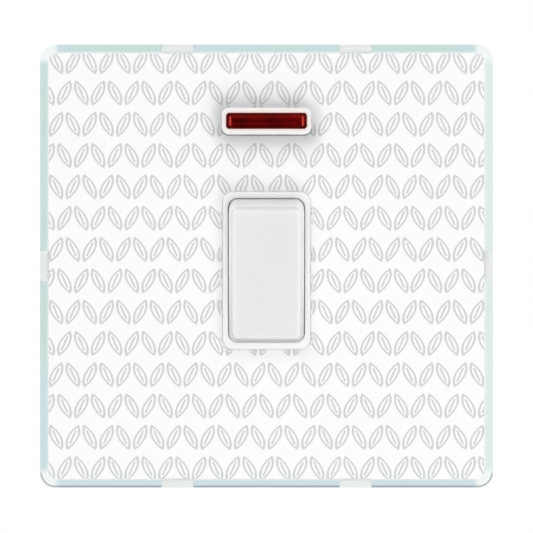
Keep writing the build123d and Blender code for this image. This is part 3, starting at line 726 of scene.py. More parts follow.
@dataclass(frozen=True)
class RedLens(Finish):
    """Red polycarbonate, injection moulded and clear: with the lamp off it is deep red in the middle.

    Light is caught inside the moulding where its end walls and its upper edge start, which shows as a
    A bright bar near each end, a faint streak along the top and a brighter rim are painted on as painted
    highlights, where the moulding's end walls and upper edge start. The well behind it is dark.

    Args:
        passing: The tint of light that passes through to the lamp, as sRGB hex, as all colours here.
        caught: The colour of the painted highlights.
        shade: The colour in the darker patches of the well.
        bar_x: How far each bright bar lies from the lens's middle, in millimetres, as all sizes here.
        bar_half: Half a bar's width.
        bar_rise: Half a bar's height.
        streak_y: How far the streak lies above the lens's middle.
        streak_half: Half the streak's width.
        streak_share: How bright the streak is beside the bars.
        middle_y: The height of the lens's middle.
        half_x: Half the lens's width.
        half_y: Half the lens's height.
        corner: The radius of the lens's corners.
        rim_wide: How far in from the outline the painted highlight on the rim reaches.
        rim_share: How bright the rim is beside the bars.
        soft: Half the width of the soft edge of bars and streak.
        patch_grain: The size of the darker patches.
        patch_from: The level of the noise at which a patch starts.
        patch_to: The level at which it is full.
        clear_share: How clear the lens still is where the highlights are painted.
        gloss: How much of a plain surface's shine it shows.
        gloss_tint: The colour of that shine.
    """

    passing: str = "F49A96"
    caught: str = "FF6058"
    shade: str = "5C0404"
    bar_x: float = 7.19
    bar_half: float = 0.2
    bar_rise: float = 1.0
    streak_y: float = 0.9
    streak_half: float = 0.16
    streak_share: float = 0.4
    middle_y: float = 28.7
    half_x: float = 7.95
    half_y: float = 1.55
    corner: float = 0.6
    rim_wide: float = 0.6
    rim_share: float = 0.32
    soft: float = 0.12
    patch_grain: float = 4.0
    patch_from: float = 0.45
    patch_to: float = 0.62
    clear_share: float = 0.45
    gloss: float = 0.03
    gloss_tint: str = "C03030"

    def dress(self, tree: Tree, shader: Node) -> None:
        """Makes the lens clear, paints highlights and makes it cloudier there, and lets the light through to
        the lamp.

        Args:
            tree: The material's node tree.
            shader: The Principled shader.
        """
        # The bars, the streak and the rim are painted highlights.
        lit = self.caught_light(tree)
        noise = self.mottle(tree, self.patch_grain, detail=1.0)
        feeds = {"Value": noise, "From Min": self.patch_from, "From Max": self.patch_to}
        feeds = {0: add_node(tree, "MapRange", feeds), 6: linear(self.colour), 7: linear(self.shade)}
        deep = add_node(tree, "Mix", feeds, data_type="RGBA").outputs[2]
        mix = add_node(tree, "Mix", {0: lit, 6: deep, 7: linear(self.caught)}, data_type="RGBA")
        tree.links.new(mix.outputs[2], shader.inputs["Base Color"])
        clear = add_node(tree, "MapRange", {"Value": lit, "To Min": 1.0, "To Max": self.clear_share})
        tree.links.new(clear.outputs[0], shader.inputs["Transmission Weight"])
        shader.inputs["Specular IOR Level"].default_value = self.gloss
        shader.inputs["Specular Tint"].default_value = linear(self.gloss_tint)
        self.let_light_through(tree, shader, linear(self.passing))

    def caught_light(self, tree: Tree) -> Node:
        """Marks where highlights are painted on the lens.

        Args:
            tree: The material's node tree.

        Returns:
            The node that gives 1 in the bars near the ends, less in the streak and the rim, and 0 elsewhere.
        """
        spot = add_node(tree, "SeparateXYZ", {0: self.place(tree)})
        across = add_node(tree, "Math", {0: spot.outputs[0]}, operation="ABSOLUTE")
        across = add_node(tree, "Math", {0: across, 1: self.bar_x}, operation="SUBTRACT")
        across = add_node(tree, "Math", {0: across}, operation="ABSOLUTE")
        across = add_node(tree, "Math", {0: self.bar_half, 1: across}, operation="SUBTRACT")
        up = add_node(tree, "Math", {0: spot.outputs[2], 1: self.middle_y}, operation="SUBTRACT")
        rise = add_node(tree, "Math", {0: up}, operation="ABSOLUTE")
        rise = add_node(tree, "Math", {0: self.bar_rise, 1: rise}, operation="SUBTRACT")
        bar = add_node(tree, "Math", {0: across, 1: rise}, operation="MINIMUM")
        bar = add_node(tree, "MapRange", {"Value": bar, "From Min": -self.soft, "From Max": self.soft})
        off = add_node(tree, "Math", {0: up, 1: self.streak_y}, operation="SUBTRACT")
        off = add_node(tree, "Math", {0: off}, operation="ABSOLUTE")
        reach = self.streak_half + self.soft
        feeds = {"Value": off, "From Min": reach, "From Max": 0.0, "To Max": self.streak_share}
        streak = add_node(tree, "MapRange", feeds)
        caught = add_node(tree, "Math", {0: bar, 1: streak}, operation="MAXIMUM")
        sizes = (self.half_x, self.half_y, self.corner, self.middle_y)
        inside = self.outline_distance(tree, *sizes)
        feeds = {"Value": inside, "From Min": self.rim_wide, "From Max": 0.0, "To Max": self.rim_share}
        rim = add_node(tree, "MapRange", feeds)
        return add_node(tree, "Math", {0: caught, 1: rim}, operation="MAXIMUM")


@dataclass(frozen=True)
class Metal(Finish):
    """A metal with fine tool lines across it and a little tarnish, so its shine is broken up.

    Args:
        line_pitch: The distance between tool lines, in millimetres, as all sizes here.
        line_depth: Their depth.
        waver: How unevenly the lines run.
        tarnish: How far the tarnish shifts the roughness.
        tarnish_grain: The size of its blotches.
    """

    # Real tool marks are about 0.05 mm apart: they are drawn coarser, so that they show.
    line_pitch: float = 0.25
    line_depth: float = 0.004
    waver: float = 0.6
    tarnish: float = 0.08
    tarnish_grain: float = 1.8

    def dress(self, tree: Tree, shader: Node) -> None:
        """Makes the shader a metal, with tool lines and tarnish.

        Args:
            tree: The material's node tree.
            shader: The Principled shader.
        """
        shader.inputs["Metallic"].default_value = 1.0
        self.wear(tree, shader, self.tarnish, self.tarnish_grain)
        feeds = {"Vector": self.place(tree), "Scale": 1 / self.line_pitch, "Distortion": self.waver}
        lines = add_node(tree, "TexWave", feeds, bands_direction="Z").outputs["Fac"]
        bump = add_node(tree, "Bump", {"Height": lines, "Distance": self.line_depth * MM})
        tree.links.new(bump.outputs[0], shader.inputs["Normal"])


@dataclass(frozen=True)
class Glass(Finish):
    """Blown lamp glass: clear, thin and very smooth, so only its rim and its shine show."""

    def dress(self, tree: Tree, shader: Node) -> None:
        """Makes the shader clear."""
        shader.inputs["Transmission Weight"].default_value = 1.0
        self.let_light_through(tree, shader, linear(self.colour))


class Palette(Enum):
    """Every finish of the switch; each member is named for the record's material slot."""

    # Acrylic from a polished tool: a mirror smooth face that hides nothing, and a faint green in its depth.
    CLEAR_ACRYLIC = PolishedAcrylic("moulded_polished_acrylic", WHITE, roughness=0.0, ior=1.49)
    # Coated and printed paper: a flat, even white without shine, with thin soft lines of ink.
    WALLPAPER = PrintedPaper("coated_printed_paper", "F9FBFA", roughness=0.7)
    # Urea from a polished tool: a warm white with a hard gloss, and soft light in its gaps.
    WHITE_MOULDING = UreaMoulding("moulded_urea", "F8F6F4", roughness=0.2, ior=1.58)
    # Glass filled nylon from a sparked tool: a dull greyish white without clear reflections.
    HOUSING_MOULDING = SparkedMoulding("moulded_glass_filled_nylon", "E4E3DC", roughness=0.55, ior=1.53)
    # Red polycarbonate from a polished tool: a deep, wet looking red, with painted highlights at its ends.
    RED_LENS = RedLens("moulded_red_polycarbonate", "A80909", roughness=0.03, ior=1.585)
    # Blown soda glass: nearly unseen, apart from its bright outline.
    LAMP_GLASS = Glass("blown_soda_glass", "F4EFE8", roughness=0.0, ior=1.51)
    # Dipped in lacquer and baked: a buff skin with a low shine and a slightly lumpy surface.
    RESISTOR_BODY = SparkedMoulding("lacquered_ceramic", "C9B48A", roughness=0.35, other="BDA67A")
    # Extruded silicone: a soft, waxy white that blurs what it reflects.
    LEAD_SLEEVE = SparkedMoulding("extruded_silicone", "EFEDE4", roughness=0.5, other="E6E3D8")
    # Turned and zinc plated: a grey shine that is faintly yellow and broken by the tool's lines.
    PLATED_STEEL = Metal("zinc_plated_steel", "C9C7BD", roughness=0.3)
    # Headed silver nickel: the brightest and whitest of the metals.
    SILVER_ALLOY = Metal("silver_nickel", "E3E1DC", roughness=0.22)
    # Unfilled nylon, moulded: a creamy white with a low, greasy shine.
    PLUNGER_NYLON = SparkedMoulding("natural_nylon", "EAE7DA", roughness=0.45, other="E2DECF")
    # Steel wire, hard drawn: a plain mid grey shine with fine drawing lines.
    SPRING_STEEL = Metal("drawn_steel_wire", "B9B9B6", roughness=0.28)
    # Milled and pressed brass: a warm yellow shine, a little blotched by tarnish.
    BRASS = Metal("milled_brass", "D2AE66", roughness=0.3)


# Two of the urea mouldings have a look of their own beside the slot's: the rocker is painted greyer as
# painted shade, with a
# # painted highlight on its long edges, and the bezel is painted whiter as painted light, with painted red
# light beside the lens.
ROCKER_UREA = RockerMoulding("moulded_urea_rocker", "EEEDEE", roughness=0.2, ior=1.58, other="EAE9E9")
BEZEL_UREA = BezelMoulding("moulded_urea_bezel", "FFFDFB", roughness=0.2, ior=1.58)


class Body(Enum):
    """The moving bodies that new pieces ride on."""

    WALL = "wall_assembly"


class Side(Enum):
    """Which of the two poles a piece belongs to; the value is its side's sign."""

    LEFT = -1
    RIGHT = 1


@dataclass
class Shape:
    """A closed skin in the making, in millimetres, drawn looking at the front.

    Args:
        points: The corners: x to the right, y up, z out of the wall.
        faces: The faces, each a tuple of corner numbers.
    """

    points: list[Point] = field(default_factory=list)
    faces: list[tuple[int, ...]] = field(default_factory=list)

    def add_rings(self, rings: Sequence[Sequence[Point]]) -> "Shape":
        """Adds a skin through rings of as many points each, with a flat face at both ends.

        Args:
            rings: The rings, each running anticlockwise about the way from the first to the last.

        Returns:
            The shape itself.
        """
        start, count = len(self.points), len(rings[0])
        for ring in rings:
            self.points.extend(ring)
        for level in range(len(rings) - 1):
            low = start + level * count
            for step in range(count):
                here, after = low + step, low + (step + 1) % count
                self.faces.append((here, after, after + count, here + count))
        last = start + (len(rings) - 1) * count
        self.faces.append(tuple(reversed(range(start, start + count))))
        self.faces.append(tuple(range(last, last + count)))
        return self

    def moved(self, x: float = 0.0, y: float = 0.0, z: float = 0.0) -> "Shape":
        """Returns a copy of the shape, moved."""
        return Shape([(a + x, b + y, c + z) for a, b, c in self.points], list(self.faces))

    def joined(self, other: "Shape") -> "Shape":
        """Puts this shape and another together, each as it stands.

        Args:
            other: The other shape.

        Returns:
            The two as one shape.
        """
        shift = len(self.points)
        faces = [tuple(corner + shift for corner in face) for face in other.faces]
        return Shape(self.points + other.points, self.faces + faces)

    def mesh(self, name: str, crease: float = CREASE) -> bpy.types.Mesh:
        """Returns the shape as a mesh that stands in the shared frame, in metres.

        Args:
            name: The mesh's name.
            crease: Edges that turn by more than this many degrees look sharp.

        Returns:
            The mesh.
        """
        mesh = bpy.data.meshes.new(name)
        mesh.from_pydata([(x * MM, -z * MM, y * MM) for x, y, z in self.points], [], self.faces)
        soften(mesh, crease)
        return mesh


def soften(mesh: bpy.types.Mesh, crease: float) -> None:
    """Shades a mesh smooth, apart from its creases.

    Args:
        mesh: The mesh.
        crease: Edges that turn by more than this many degrees look sharp.
    """
    work = bmesh.new()
    work.from_mesh(mesh)
    for face in work.faces:
        face.smooth = True
    for edge in work.edges:
        edge.smooth = len(edge.link_faces) == 2 and edge.calc_face_angle(0.0) < math.radians(crease)
    work.to_mesh(mesh)
    work.free()


def circle(
    radius: float, sides: int, z: float, swell: Callable[[float], float] = lambda turn: 0.0
) -> list[Point]:
    """Returns a ring of points about the z axis.

    Args:
        radius: The ring's radius.
        sides: How many points it has.
        z: Its level.
        swell: What is added to the radius at each share of a turn.

    Returns:
        The points, anticlockwise.
    """
    ring = []
    for step in range(sides):
        turn = step / sides
        reach = radius + swell(turn)
        ring.append((reach * math.cos(turn * math.tau), reach * math.sin(turn * math.tau), z))
    return ring


def rounded_ring(half_x: float, half_y: float, corner: float, z: float, long_steps: int = 1) -> list[Point]:
    """Returns a ring along a rectangle with rounded corners, about the z axis.

    Args:
        half_x: Half its width.
        half_y: Half its height.
        corner: The radius of its corners.
        z: Its level.
        long_steps: How many parts its long sides have.

    Returns:
        The points, anticlockwise.
    """
    arc_steps = 6
    ring = []
    for quarter, (sign_x, sign_y) in enumerate(((1, 1), (-1, 1), (-1, -1), (1, -1))):
        middle_x, middle_y = sign_x * (half_x - corner), sign_y * (half_y - corner)
        for step in range(arc_steps + 1):
            turn = math.radians(90 * (quarter + step / arc_steps))
            ring.append((middle_x + corner * math.cos(turn), middle_y + corner * math.sin(turn), z))
        if quarter in (0, 2):
            from_x = ring[-1][0]
            for step in range(1, long_steps):
                ring.append((from_x * (1 - 2 * step / long_steps), sign_y * half_y, z))
    return ring


class SubAssembly:
    """A group of pieces of the switch that are built and dressed together.

    Args:
        carried: The CAD nodes of the group that keep their solids.
        own_finishes: For a node with a look of its own beside its slot's, that finish.
    """

    carried: tuple[str, ...] = ()
    own_finishes: dict[str, Finish] = {}

    def build(self) -> None:
        """Makes the pieces that stand for CAD nodes; a group with none has nothing to make."""

    def dress(self) -> None:
        """Gives every CAD node that the group keeps the finish of its material slot."""
        slots = {part["node"]: part["material_slot"] for part in frame["record"]["subparts"]}
        for name in self.carried:
            finish = self.own_finishes.get(name, Palette[slots[name].upper()].value)
            materials = frame["nodes"][name].data.materials
            materials.clear()
            materials.append(finish.material())
            log.info("%s keeps its solid, in %s", name, slots[name])

    def add_piece(
        self, name: str, mesh: bpy.types.Mesh, finish: Palette, body: Body, stands_for: str = ""
    ) -> bpy.types.Object:
        """Puts a new piece in the scene.

        Args:
            name: The piece's name.
            mesh: Its mesh, in place.
            finish: Its finish, which also gives its material slot.
            body: The body it rides on.
            stands_for: The CAD node that it replaces, if it does.

        Returns:
            The piece.
        """
        piece = bpy.data.objects.new(name, mesh)
        bpy.context.scene.collection.objects.link(piece)
        mesh.materials.append(finish.value.material())
        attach(piece, body.value)
        if stands_for:
            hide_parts(stands_for)
        log.info("%s has %d faces, in %s", name, len(mesh.polygons), finish.name.lower())
        return piece


@dataclass
class ClearFront(SubAssembly):
    """The clear clip-on plate and the sheet of wallpaper that it holds.

    Args:
        carried: The CAD nodes that keep their solids.
    """

    carried: tuple[str, ...] = ("front_plate", "paper_insert")


@dataclass
class Carrier(SubAssembly):
    """The white sub-plate that carries everything.

    Args:
        carried: The CAD nodes that keep their solids.
    """

    carried: tuple[str, ...] = ("sub_plate",)


@dataclass
class RockerWorks(SubAssembly):
    """The rocker with its sprung plungers.

    Args:
        carried: The CAD nodes that keep their solids.
    """

    own_finishes = {"rocker": ROCKER_UREA}
    carried: tuple[str, ...] = (
        "rocker", "plunger_left", "plunger_right", "plunger_spring_left", "plunger_spring_right",
    )


@dataclass
class Pole(SubAssembly):
    """One pole's contacts, strips and terminals.

    Args:
        side: Which pole it is.
    """

    side: Side

    def __post_init__(self) -> None:
        """Works out the names of the pole's nodes."""
        kinds = (
            "moving_contact", "moving_tip", "fixed_contact", "pivot_bracket",
            "load_terminal", "supply_terminal",
        )
        self.carried = tuple("%s_%s" % (kind, self.side.name.lower()) for kind in kinds)


@dataclass
class Screw:
    """A slotted cheese head screw with a cut thread, its slot towards the back.

    Args:
        radius: The thread's outer radius, in millimetres, as all sizes here.
        pitch: The distance between its turns.
        head_radius: The head's radius.
        head_height: The head's height.
        head_level: The level of the head's slotted face.
        end: The level of the screw's end.
        head_edge: The radius of the head's rounded edge.
        slot_width: The slot's width.
        slot_depth: The slot's depth.
        slot_overrun: How far the slot's cutter reaches out, as a share of the head's radius.
        thread_share: The thread's depth as a share of its pitch.
        sides: How many sides stand for a circle.
        rings_a_turn: How many rings make one turn of the thread.
    """

    radius: float
    pitch: float
    head_radius: float
    head_height: float
    head_level: float
    end: float
    head_edge: float = 0.25
    slot_width: float = 0.8
    slot_depth: float = 0.9
    slot_overrun: float = 1.2
    thread_share: float = 0.6
    sides: int = 32
    rings_a_turn: int = 8

    def shape(self) -> Shape:
        """Draws the screw about the z axis, without its slot.

        Returns:
            The screw as a closed skin.
        """
        seat = self.head_level + self.head_height
        rings = []
        for share in (0.0, 0.5, 1.0):
            lean = math.radians(90 * share)
            inset = self.head_edge * (1 - math.sin(lean))
            level = self.head_level + self.head_edge * (1 - math.cos(lean))
            rings.append(circle(self.head_radius - inset, self.sides, level))
        rings.append(circle(self.head_radius, self.sides, seat))
        count = round((self.end - seat) / self.pitch * self.rings_a_turn)
        for number in range(count + 1):
            rings.append(self.thread_ring(seat, seat + (self.end - seat) * number / count))
        return Shape().add_rings(rings)

    def thread_ring(self, seat: float, level: float) -> list[Point]:
        """Returns one ring of the thread.

        Args:
            seat: The level where the thread starts.
            level: The ring's own level.

        Returns:
            The ring's points.
        """
        depth = self.thread_share * self.pitch
        fade = min(1.0, (level - seat) / self.pitch, (self.end - level) / self.pitch)

        def cut(turn: float) -> float:
            """Returns how far the thread's skin lies inside its outer radius."""
            phase = (level / self.pitch - turn) % 1.0
            return -depth * (1 - fade * (1 - abs(2 * phase - 1)))

        return circle(self.radius, self.sides, level, cut)

    def cutter(self) -> Shape:
        """Draws what cuts the slot.

        Returns:
            The block, wider than the head.
        """
        deep = self.head_level + self.slot_depth
        low = self.head_level - self.slot_depth
        half_x, half_y = self.head_radius * self.slot_overrun, self.slot_width / 2
        corners = ((half_x, half_y), (-half_x, half_y), (-half_x, -half_y), (half_x, -half_y))
        return Shape().add_rings([[(x, y, z) for x, y in corners] for z in (low, deep)])


@dataclass
class Fasteners(SubAssembly):
    """The four clamp screws of the terminals and the two screws that hold the housing.

    Args:
        clamp: A clamp screw.
        clamp_x: How far the clamp screws stand from the middle, in millimetres, as all sizes here.
        load_y: The height of the load terminals' screws.
        supply_y: The height of the supply terminals' screws.
        holding: A screw that holds the housing.
        holding_x: How far the holding screws stand from the middle.
        rocker_y: The height of the rocker's middle, and so of the holding screws.
    """

    clamp: Screw = field(default_factory=lambda: Screw(
        radius=1.6, pitch=0.7, head_radius=2.3, head_height=2.0, head_level=-20.3, end=-16.5,
    ))
    clamp_x: float = 12.2
    load_y: float = 15.6
    supply_y: float = -23.6
    holding: Screw = field(default_factory=lambda: Screw(
        radius=1.3, pitch=1.0, head_radius=2.5, head_height=1.8, head_level=-21.1, end=1.5,
    ))
    holding_x: float = 13.5
    rocker_y: float = -0.87

    def build(self) -> None:
        """Makes both kinds of screw, one piece of each kind."""
        clamps = [(side.value * self.clamp_x, y) for side in Side for y in (self.load_y, self.supply_y)]
        self.add_screws("clamp_screws", self.clamp, clamps, "terminal_screws")
        holdings = [(side.value * self.holding_x, self.rocker_y) for side in Side]
        self.add_screws("holding_screws", self.holding, holdings, "body_screws")

    def add_screws(self, name: str, screw: Screw, spots: Sequence[tuple[float, float]], node: str) -> None:
        """Makes one piece of equal screws with their slots cut.

        Args:
            name: The piece's name.
            screw: The screw.
            spots: Where each screw's axis is.
            node: The CAD node that the piece replaces.
        """
        screws, slots = Shape(), Shape()
        for x, y in spots:
            screws = screws.joined(screw.shape().moved(x, y))
            slots = slots.joined(screw.cutter().moved(x, y))
        mesh = self.cut(screws.mesh(name), slots.mesh("slots"))
        self.add_piece(name, mesh, Palette.PLATED_STEEL, Body.WALL, node)

    def cut(self, mesh: bpy.types.Mesh, tool: bpy.types.Mesh) -> bpy.types.Mesh:
        """Cuts one mesh out of another.

        Args:
            mesh: What is cut.
            tool: What cuts it.

        Returns:
            What is left.
        """
        blank = bpy.data.objects.new("blank", mesh)
        cutter = bpy.data.objects.new("cutter", tool)
        for item in (blank, cutter):
            bpy.context.scene.collection.objects.link(item)
        step = blank.modifiers.new("slot", "BOOLEAN")
        step.object, step.operation, step.solver = cutter, "DIFFERENCE", "EXACT"
        state = bpy.context.evaluated_depsgraph_get()
        left = bpy.data.meshes.new_from_object(blank.evaluated_get(state))
        for item in (blank, cutter):
            bpy.data.objects.remove(item)
        soften(left, CREASE)
        return left


@dataclass
class Housing(SubAssembly):
    """The front and back mouldings of the switch's housing.

    Args:
        carried: The CAD nodes that keep their solids.
    """

    carried: tuple[str, ...] = ("switch_cover", "switch_base")


@dataclass
class NeonIndicator(SubAssembly):
    """The lamp behind its red lens, with its resistor, leads, bezel and back cap.

    Args:
        carried: The CAD nodes that keep their solids.
        y: How far the lens's middle lies above the switch's middle, in millimetres, as all sizes here.
        lens_width: The lens's width.
        lens_height: Its height.
        lens_corner: The radius of its corners.
        lens_level: The level of its face.
        lens_edge: The radius of the face's rounded edge.
        edge_steps: How many rings the rounded edge has, after the first.
        lens_crease: Edges of the lens that turn by more than this many degrees look sharp.
        lens_end_bevel: How far from each end the face starts to slope.
        lens_end_drop: How much it has dropped at the end.
        face_insets: How far the rings on the face lie inside the outline.
        flange_margin: How far the flange stands out all round.
        flange_low: The level of the flange's back.
        flange_top: The level of its front.
        lens_wall: How thick the lens's walls are.
        hollow_corner: The radius of the hollow's corners.
        roof_level: The level of the hollow's roof.
        roof_steps: How many rings the roof has, after the first.
        roof_ridge: Half the height of the roof's innermost ring.
        least_corner: The smallest radius of the roof's corners.
        least_face_corner: The smallest radius of the face's corners.
        long_steps: How many parts the lens's long sides have.
        flute_pitch: The distance between flutes.
        flute_depth: Half their depth.
        lamp_radius: The bulb's radius.
        lamp_glass: How thick its glass is.
        lamp_half: Half the bulb's length.
        lamp_level: The level of its axis.
        shoulder: For each ring of the shoulder, how far from the bulb's end it lies, and the shares of the
            radius that are its half height and half depth.
        nose_turn: How many degrees the round nose turns through.
        nose_steps: How many rings the nose has, after the first.
        pinch_end: Where the pinched end stops.
        pinch_half_y: Half the pinch's height.
        pinch_half_z: Half its depth.
        electrode_radius: An electrode's radius.
        electrode_gap: How far each electrode lies from the lamp's axis.
        electrode_ends: Where the electrodes start and end.
        round_sides: How many sides stand for a circle.
    """

    own_finishes = {"neon_surround": BEZEL_UREA}
    carried: tuple[str, ...] = ("neon_surround", "neon_back_cap", "neon_resistor", "neon_leads")
    y: float = 28.7
    lens_width: float = 15.9
    lens_height: float = 3.1
    lens_corner: float = 0.6
    lens_level: float = 9.6
    lens_edge: float = 0.35
    edge_steps: int = 4
    lens_crease: float = 25.0
    lens_end_bevel: float = 0.9
    lens_end_drop: float = 0.6
    face_insets: tuple[float, ...] = (0.5, 0.7, 0.9, 1.1, 1.3, 1.5)
    flange_margin: float = 0.35
    flange_low: float = -0.35
    flange_top: float = 0.85
    lens_wall: float = 0.8
    hollow_corner: float = 0.3
    roof_level: float = 8.0
    roof_steps: int = 12
    roof_ridge: float = 0.02
    least_corner: float = 0.01
    least_face_corner: float = 0.02
    long_steps: int = 48
    flute_pitch: float = 0.5
    flute_depth: float = 0.14
    lamp_radius: float = 2.0
    lamp_glass: float = 0.3
    lamp_half: float = 5.5
    lamp_level: float = -3.2
    shoulder: tuple[Station, ...] = ((0.7, 0.7, 0.55), (1.3, 0.93, 0.88), (2.0, 1.0, 1.0))
    nose_turn: float = 86.0
    nose_steps: int = 8
    pinch_end: float = -6.7
    pinch_half_y: float = 1.0
    pinch_half_z: float = 0.5
    electrode_radius: float = 0.35
    electrode_gap: float = 0.55
    electrode_ends: tuple[float, float] = (-5.0, 3.2)
    round_sides: int = 32

    def build(self) -> None:
        """Makes the fluted lens, the lamp's bulb and its two electrodes."""
        lens = self.lens_shape().moved(0, self.y).mesh("fluted_lens", self.lens_crease)
        self.add_piece("fluted_lens", lens, Palette.RED_LENS, Body.WALL, "neon_lens")
        bulb = self.bulb_shape().moved(0, self.y, self.lamp_level).mesh("lamp_bulb")
        self.add_piece("lamp_bulb", bulb, Palette.LAMP_GLASS, Body.WALL, "neon_lamp")
        rods = Shape()
        radius = self.electrode_radius
        for side in Side:
            rod = self.along_x([(x, radius, radius) for x in self.electrode_ends])
            rods = rods.joined(rod.moved(0, self.y + side.value * self.electrode_gap, self.lamp_level))
        self.add_piece("lamp_electrodes", rods.mesh("lamp_electrodes"), Palette.PLATED_STEEL, Body.WALL)

    def lens_shape(self) -> Shape:
        """Draws the lens: a block with rounded edges and bevelled ends, hollow from behind.

        Returns:
            The lens as a closed skin.
        """
        rings = []
        core_x, core_y = self.lens_width / 2 - self.lens_wall, self.lens_height / 2 - self.lens_wall
        for number in range(self.roof_steps, -1, -1):
            inset = (core_y - self.roof_ridge) * number / self.roof_steps
            corner = max(self.hollow_corner - inset, self.least_corner)
            ring = rounded_ring(core_x - inset, core_y - inset, corner, self.roof_level, self.long_steps)
            rings.append([(x, y, z + self.flute(y)) for x, y, z in ring])
        rings.append(rounded_ring(core_x, core_y, self.hollow_corner, self.flange_low, self.long_steps))
        wide_x, wide_y = self.lens_width / 2 + self.flange_margin, self.lens_height / 2 + self.flange_margin
        for level in (self.flange_low, self.flange_top):
            rings.append(rounded_ring(wide_x, wide_y, self.lens_corner, level, self.long_steps))
        rings.append(self.lens_ring(0.0, self.flange_top))
        for number in range(self.edge_steps + 1):
            lean = math.radians(90 * number / self.edge_steps)
            inset = self.lens_edge * (1 - math.cos(lean))
            rings.append(self.lens_ring(inset, self.lens_level - self.lens_edge * (1 - math.sin(lean))))
        for inset in self.face_insets:
            rings.append(self.lens_ring(inset, self.lens_level))
        return Shape().add_rings(rings)

    def lens_ring(self, inset: float, level: float) -> list[Point]:
        """Returns one ring of the lens's outside, lowered where the ends are bevelled.

        Args:
            inset: How far the ring lies inside the lens's outline.
            level: Its level between the bevels.

        Returns:
            The ring's points.
        """
        half_x, half_y = self.lens_width / 2 - inset, self.lens_height / 2 - inset
        corner = max(self.lens_corner - inset, self.least_face_corner)
        ring = rounded_ring(half_x, half_y, corner, level, self.long_steps)
        start = self.lens_width / 2 - self.lens_end_bevel
        slope = self.lens_end_drop / self.lens_end_bevel
        roof = self.lens_level
        return [(x, y, min(z, roof - slope * max(abs(x) - start, 0.0))) for x, y, z in ring]

    def flute(self, y: float) -> float:
        """Returns how far the flutes raise the lens's hollow at a height."""
        return self.flute_depth * math.cos(y / self.flute_pitch * math.tau)

    def along_x(self, stations: Sequence[Station]) -> Shape:
        """Returns a closed skin along the x axis.

        Args:
            stations: The place, the half height and the half depth of each ring.

        Returns:
            The shape.
        """
        rings = []
        for x, half_y, half_z in stations:
            rings.append([(x, half_y * b, half_z * c) for b, c, _ in circle(1.0, self.round_sides, 0.0)])
        return Shape().add_rings(rings)

    def bulb_shape(self) -> Shape:
        """Draws the bulb: a tube with a round nose at one end, pinched flat at the other.

        Returns:
            The bulb's outer skin and the skin of its hollow.
        """
        outer = self.bulb_stations(self.lamp_radius)
        start = (self.pinch_end, self.pinch_half_y, self.pinch_half_z)
        outer = [start, (-self.lamp_half, self.pinch_half_y, self.pinch_half_z)] + outer
        # The hollow's rings run the other way, so that its skin faces inwards.
        inner = list(reversed(self.bulb_stations(self.lamp_radius - self.lamp_glass)))
        return self.along_x(outer).joined(self.along_x(inner))

    def bulb_stations(self, radius: float) -> list[Station]:
        """Returns the rings of one of the bulb's skins, from its shoulder to its nose.

        Args:
            radius: The skin's radius.

        Returns:
            The place, the half height and the half depth of each ring.
        """
        stations = [(-self.lamp_half + x, high * radius, deep * radius) for x, high, deep in self.shoulder]
        nose = self.lamp_half - self.lamp_radius
        for number in range(self.nose_steps + 1):
            lean = math.radians(self.nose_turn * number / self.nose_steps)
            reach = radius * math.cos(lean)
            stations.append((nose + radius * math.sin(lean), reach, reach))
        return stations


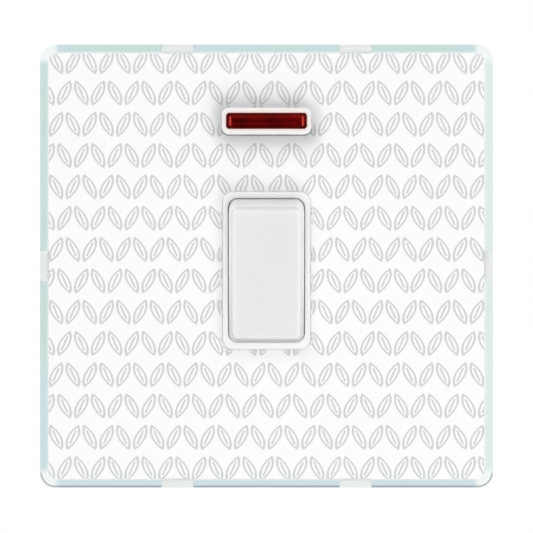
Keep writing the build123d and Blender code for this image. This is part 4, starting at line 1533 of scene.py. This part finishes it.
@dataclass
class Studio:
    """The pale floor, the soft light and the camera that looks straight at the plate.

    Args:
        view_width: The width of what the picture shows at the front plate's face, in millimetres.
        distance: From the camera to the face, in millimetres.
        look_up: How far the picture's middle lies above the plate's middle, in millimetres.
        plate_face: How far the face stands out from the wall, in millimetres.
        sensor: The camera's sensor width, in millimetres.
        clip_start: How near the camera starts to see, in millimetres.
        floor_level: The floor's level, in millimetres.
        floor_size: The floor's side, in millimetres.
        floor_colour: The floor's colour, as sRGB hex.
        floor_roughness: How dull the floor is.
        floor_glow: How much paler than its lamps make it the floor is shown.
        room_light: How strongly the white room lights the switch.
        lamps: The name, watts, place in millimetres and side in millimetres of each soft lamp.
    """

    view_width: float = 105.82
    distance: float = 620.0
    look_up: float = -0.09
    plate_face: float = 7.0
    sensor: float = 36.0
    clip_start: float = 10.0
    floor_level: float = -700.0
    floor_size: float = 9000.0
    floor_colour: str = "F2F2F2"
    floor_roughness: float = 0.8
    floor_glow: float = 0.2
    room_light: float = 0.6
    lamps: Sequence[tuple[str, float, Point, float]] = (
        ("low_key", 1.5, (220.0, -580.0, -430.0), 400.0),
        ("high_fill", 1.15, (-160.0, -600.0, 500.0), 420.0),
        ("front_fill", 1.0, (30.0, -900.0, -30.0), 160.0),
    )

    def build(self) -> None:
        """Makes the floor, the room, the lamps and the camera."""
        self.make_floor()
        self.make_room()
        for name, power, place, size in self.lamps:
            self.make_lamp(name, power, place, size)
        self.make_camera()
        bpy.context.scene.view_settings.view_transform = "Standard"

    def make_floor(self) -> None:
        """Lays a plain pale floor well below the switch, as under a thing that hangs on a wall."""
        half = self.floor_size / 2 * MM
        mesh = bpy.data.meshes.new("floor")
        level = self.floor_level * MM
        corners = [(-half, -half, level), (half, -half, level), (half, half, level), (-half, half, level)]
        mesh.from_pydata(corners, [], [(0, 1, 2, 3)])
        floor = bpy.data.objects.new("floor", mesh)
        bpy.context.scene.collection.objects.link(floor)
        material = bpy.data.materials.new("floor")
        material.use_nodes = True
        tree = material.node_tree
        shader = tree.nodes["Principled BSDF"]
        shader.inputs["Base Color"].default_value = linear(self.floor_colour)
        shader.inputs["Roughness"].default_value = self.floor_roughness
        shader.inputs["Emission Color"].default_value = linear(WHITE)
        seen = add_node(tree, "LightPath").outputs["Is Camera Ray"]
        glow = add_node(tree, "Math", {0: seen, 1: self.floor_glow}, operation="MULTIPLY")
        tree.links.new(glow.outputs[0], shader.inputs["Emission Strength"])
        mesh.materials.append(material)

    def make_room(self) -> None:
        """Fills the room with soft white light, and shows it as plain white."""
        world = bpy.data.worlds.new("studio")
        world.use_nodes = True
        tree = world.node_tree
        rays = add_node(tree, "LightPath").outputs
        feeds = {0: rays["Is Camera Ray"], 1: rays["Is Glossy Ray"]}
        seen = add_node(tree, "Math", feeds, operation="MAXIMUM").outputs[0]
        feeds = {0: seen, 1: rays["Is Transmission Ray"]}
        seen = add_node(tree, "Math", feeds, operation="MAXIMUM").outputs[0]
        strength = add_node(tree, "MapRange", {"Value": seen, "To Min": self.room_light, "To Max": 1.0})
        background = tree.nodes["Background"]
        background.inputs["Color"].default_value = linear(WHITE)
        tree.links.new(strength.outputs[0], background.inputs["Strength"])
        bpy.context.scene.world = world

    def make_lamp(self, name: str, power: float, place: Point, size: float) -> None:
        """Hangs one soft lamp that points at the plate.

        Args:
            name: The lamp's name.
            power: Its power in watts.
            place: Where it hangs, in millimetres.
            size: Its side in millimetres.
        """
        light = bpy.data.lights.new(name, "AREA")
        light.energy = power
        light.size = size * MM
        lamp = bpy.data.objects.new(name, light)
        lamp.location = Vector(place) * MM
        lamp.rotation_mode = "QUATERNION"
        lamp.rotation_quaternion = (-lamp.location).to_track_quat("-Z", "Y")
        # The room alone shows in the gloss, as in a light tent, so no lamp blots the clear plate.
        lamp.visible_glossy = False
        lamp.visible_transmission = False
        bpy.context.scene.collection.objects.link(lamp)

    def make_camera(self) -> None:
        """Sets the camera square to the plate, as the picture was taken."""
        data = bpy.data.cameras.new("camera")
        data.sensor_width = self.sensor
        data.lens = data.sensor_width * self.distance / self.view_width
        data.clip_start = self.clip_start * MM
        data.dof.use_dof = False
        camera = bpy.data.objects.new("camera", data)
        camera.location = Vector((0, -self.plate_face - self.distance, self.look_up)) * MM
        camera.rotation_euler = (math.radians(90), 0, 0)
        bpy.context.scene.collection.objects.link(camera)
        bpy.context.scene.camera = camera


def main() -> None:
    """Builds and dresses the switch, one sub-assembly after the other, then the studio around it."""
    logging.basicConfig(level=logging.INFO, format="%(message)s")
    groups = (
        Carrier(), Housing(), Pole(Side.LEFT), Pole(Side.RIGHT), RockerWorks(), Fasteners(), NeonIndicator(),
        ClearFront(),
    )
    for group in groups:
        group.build()
        group.dress()
        log.info("%s is done", type(group).__name__)
    Studio().build()


if __name__ == "__main__":
    main()
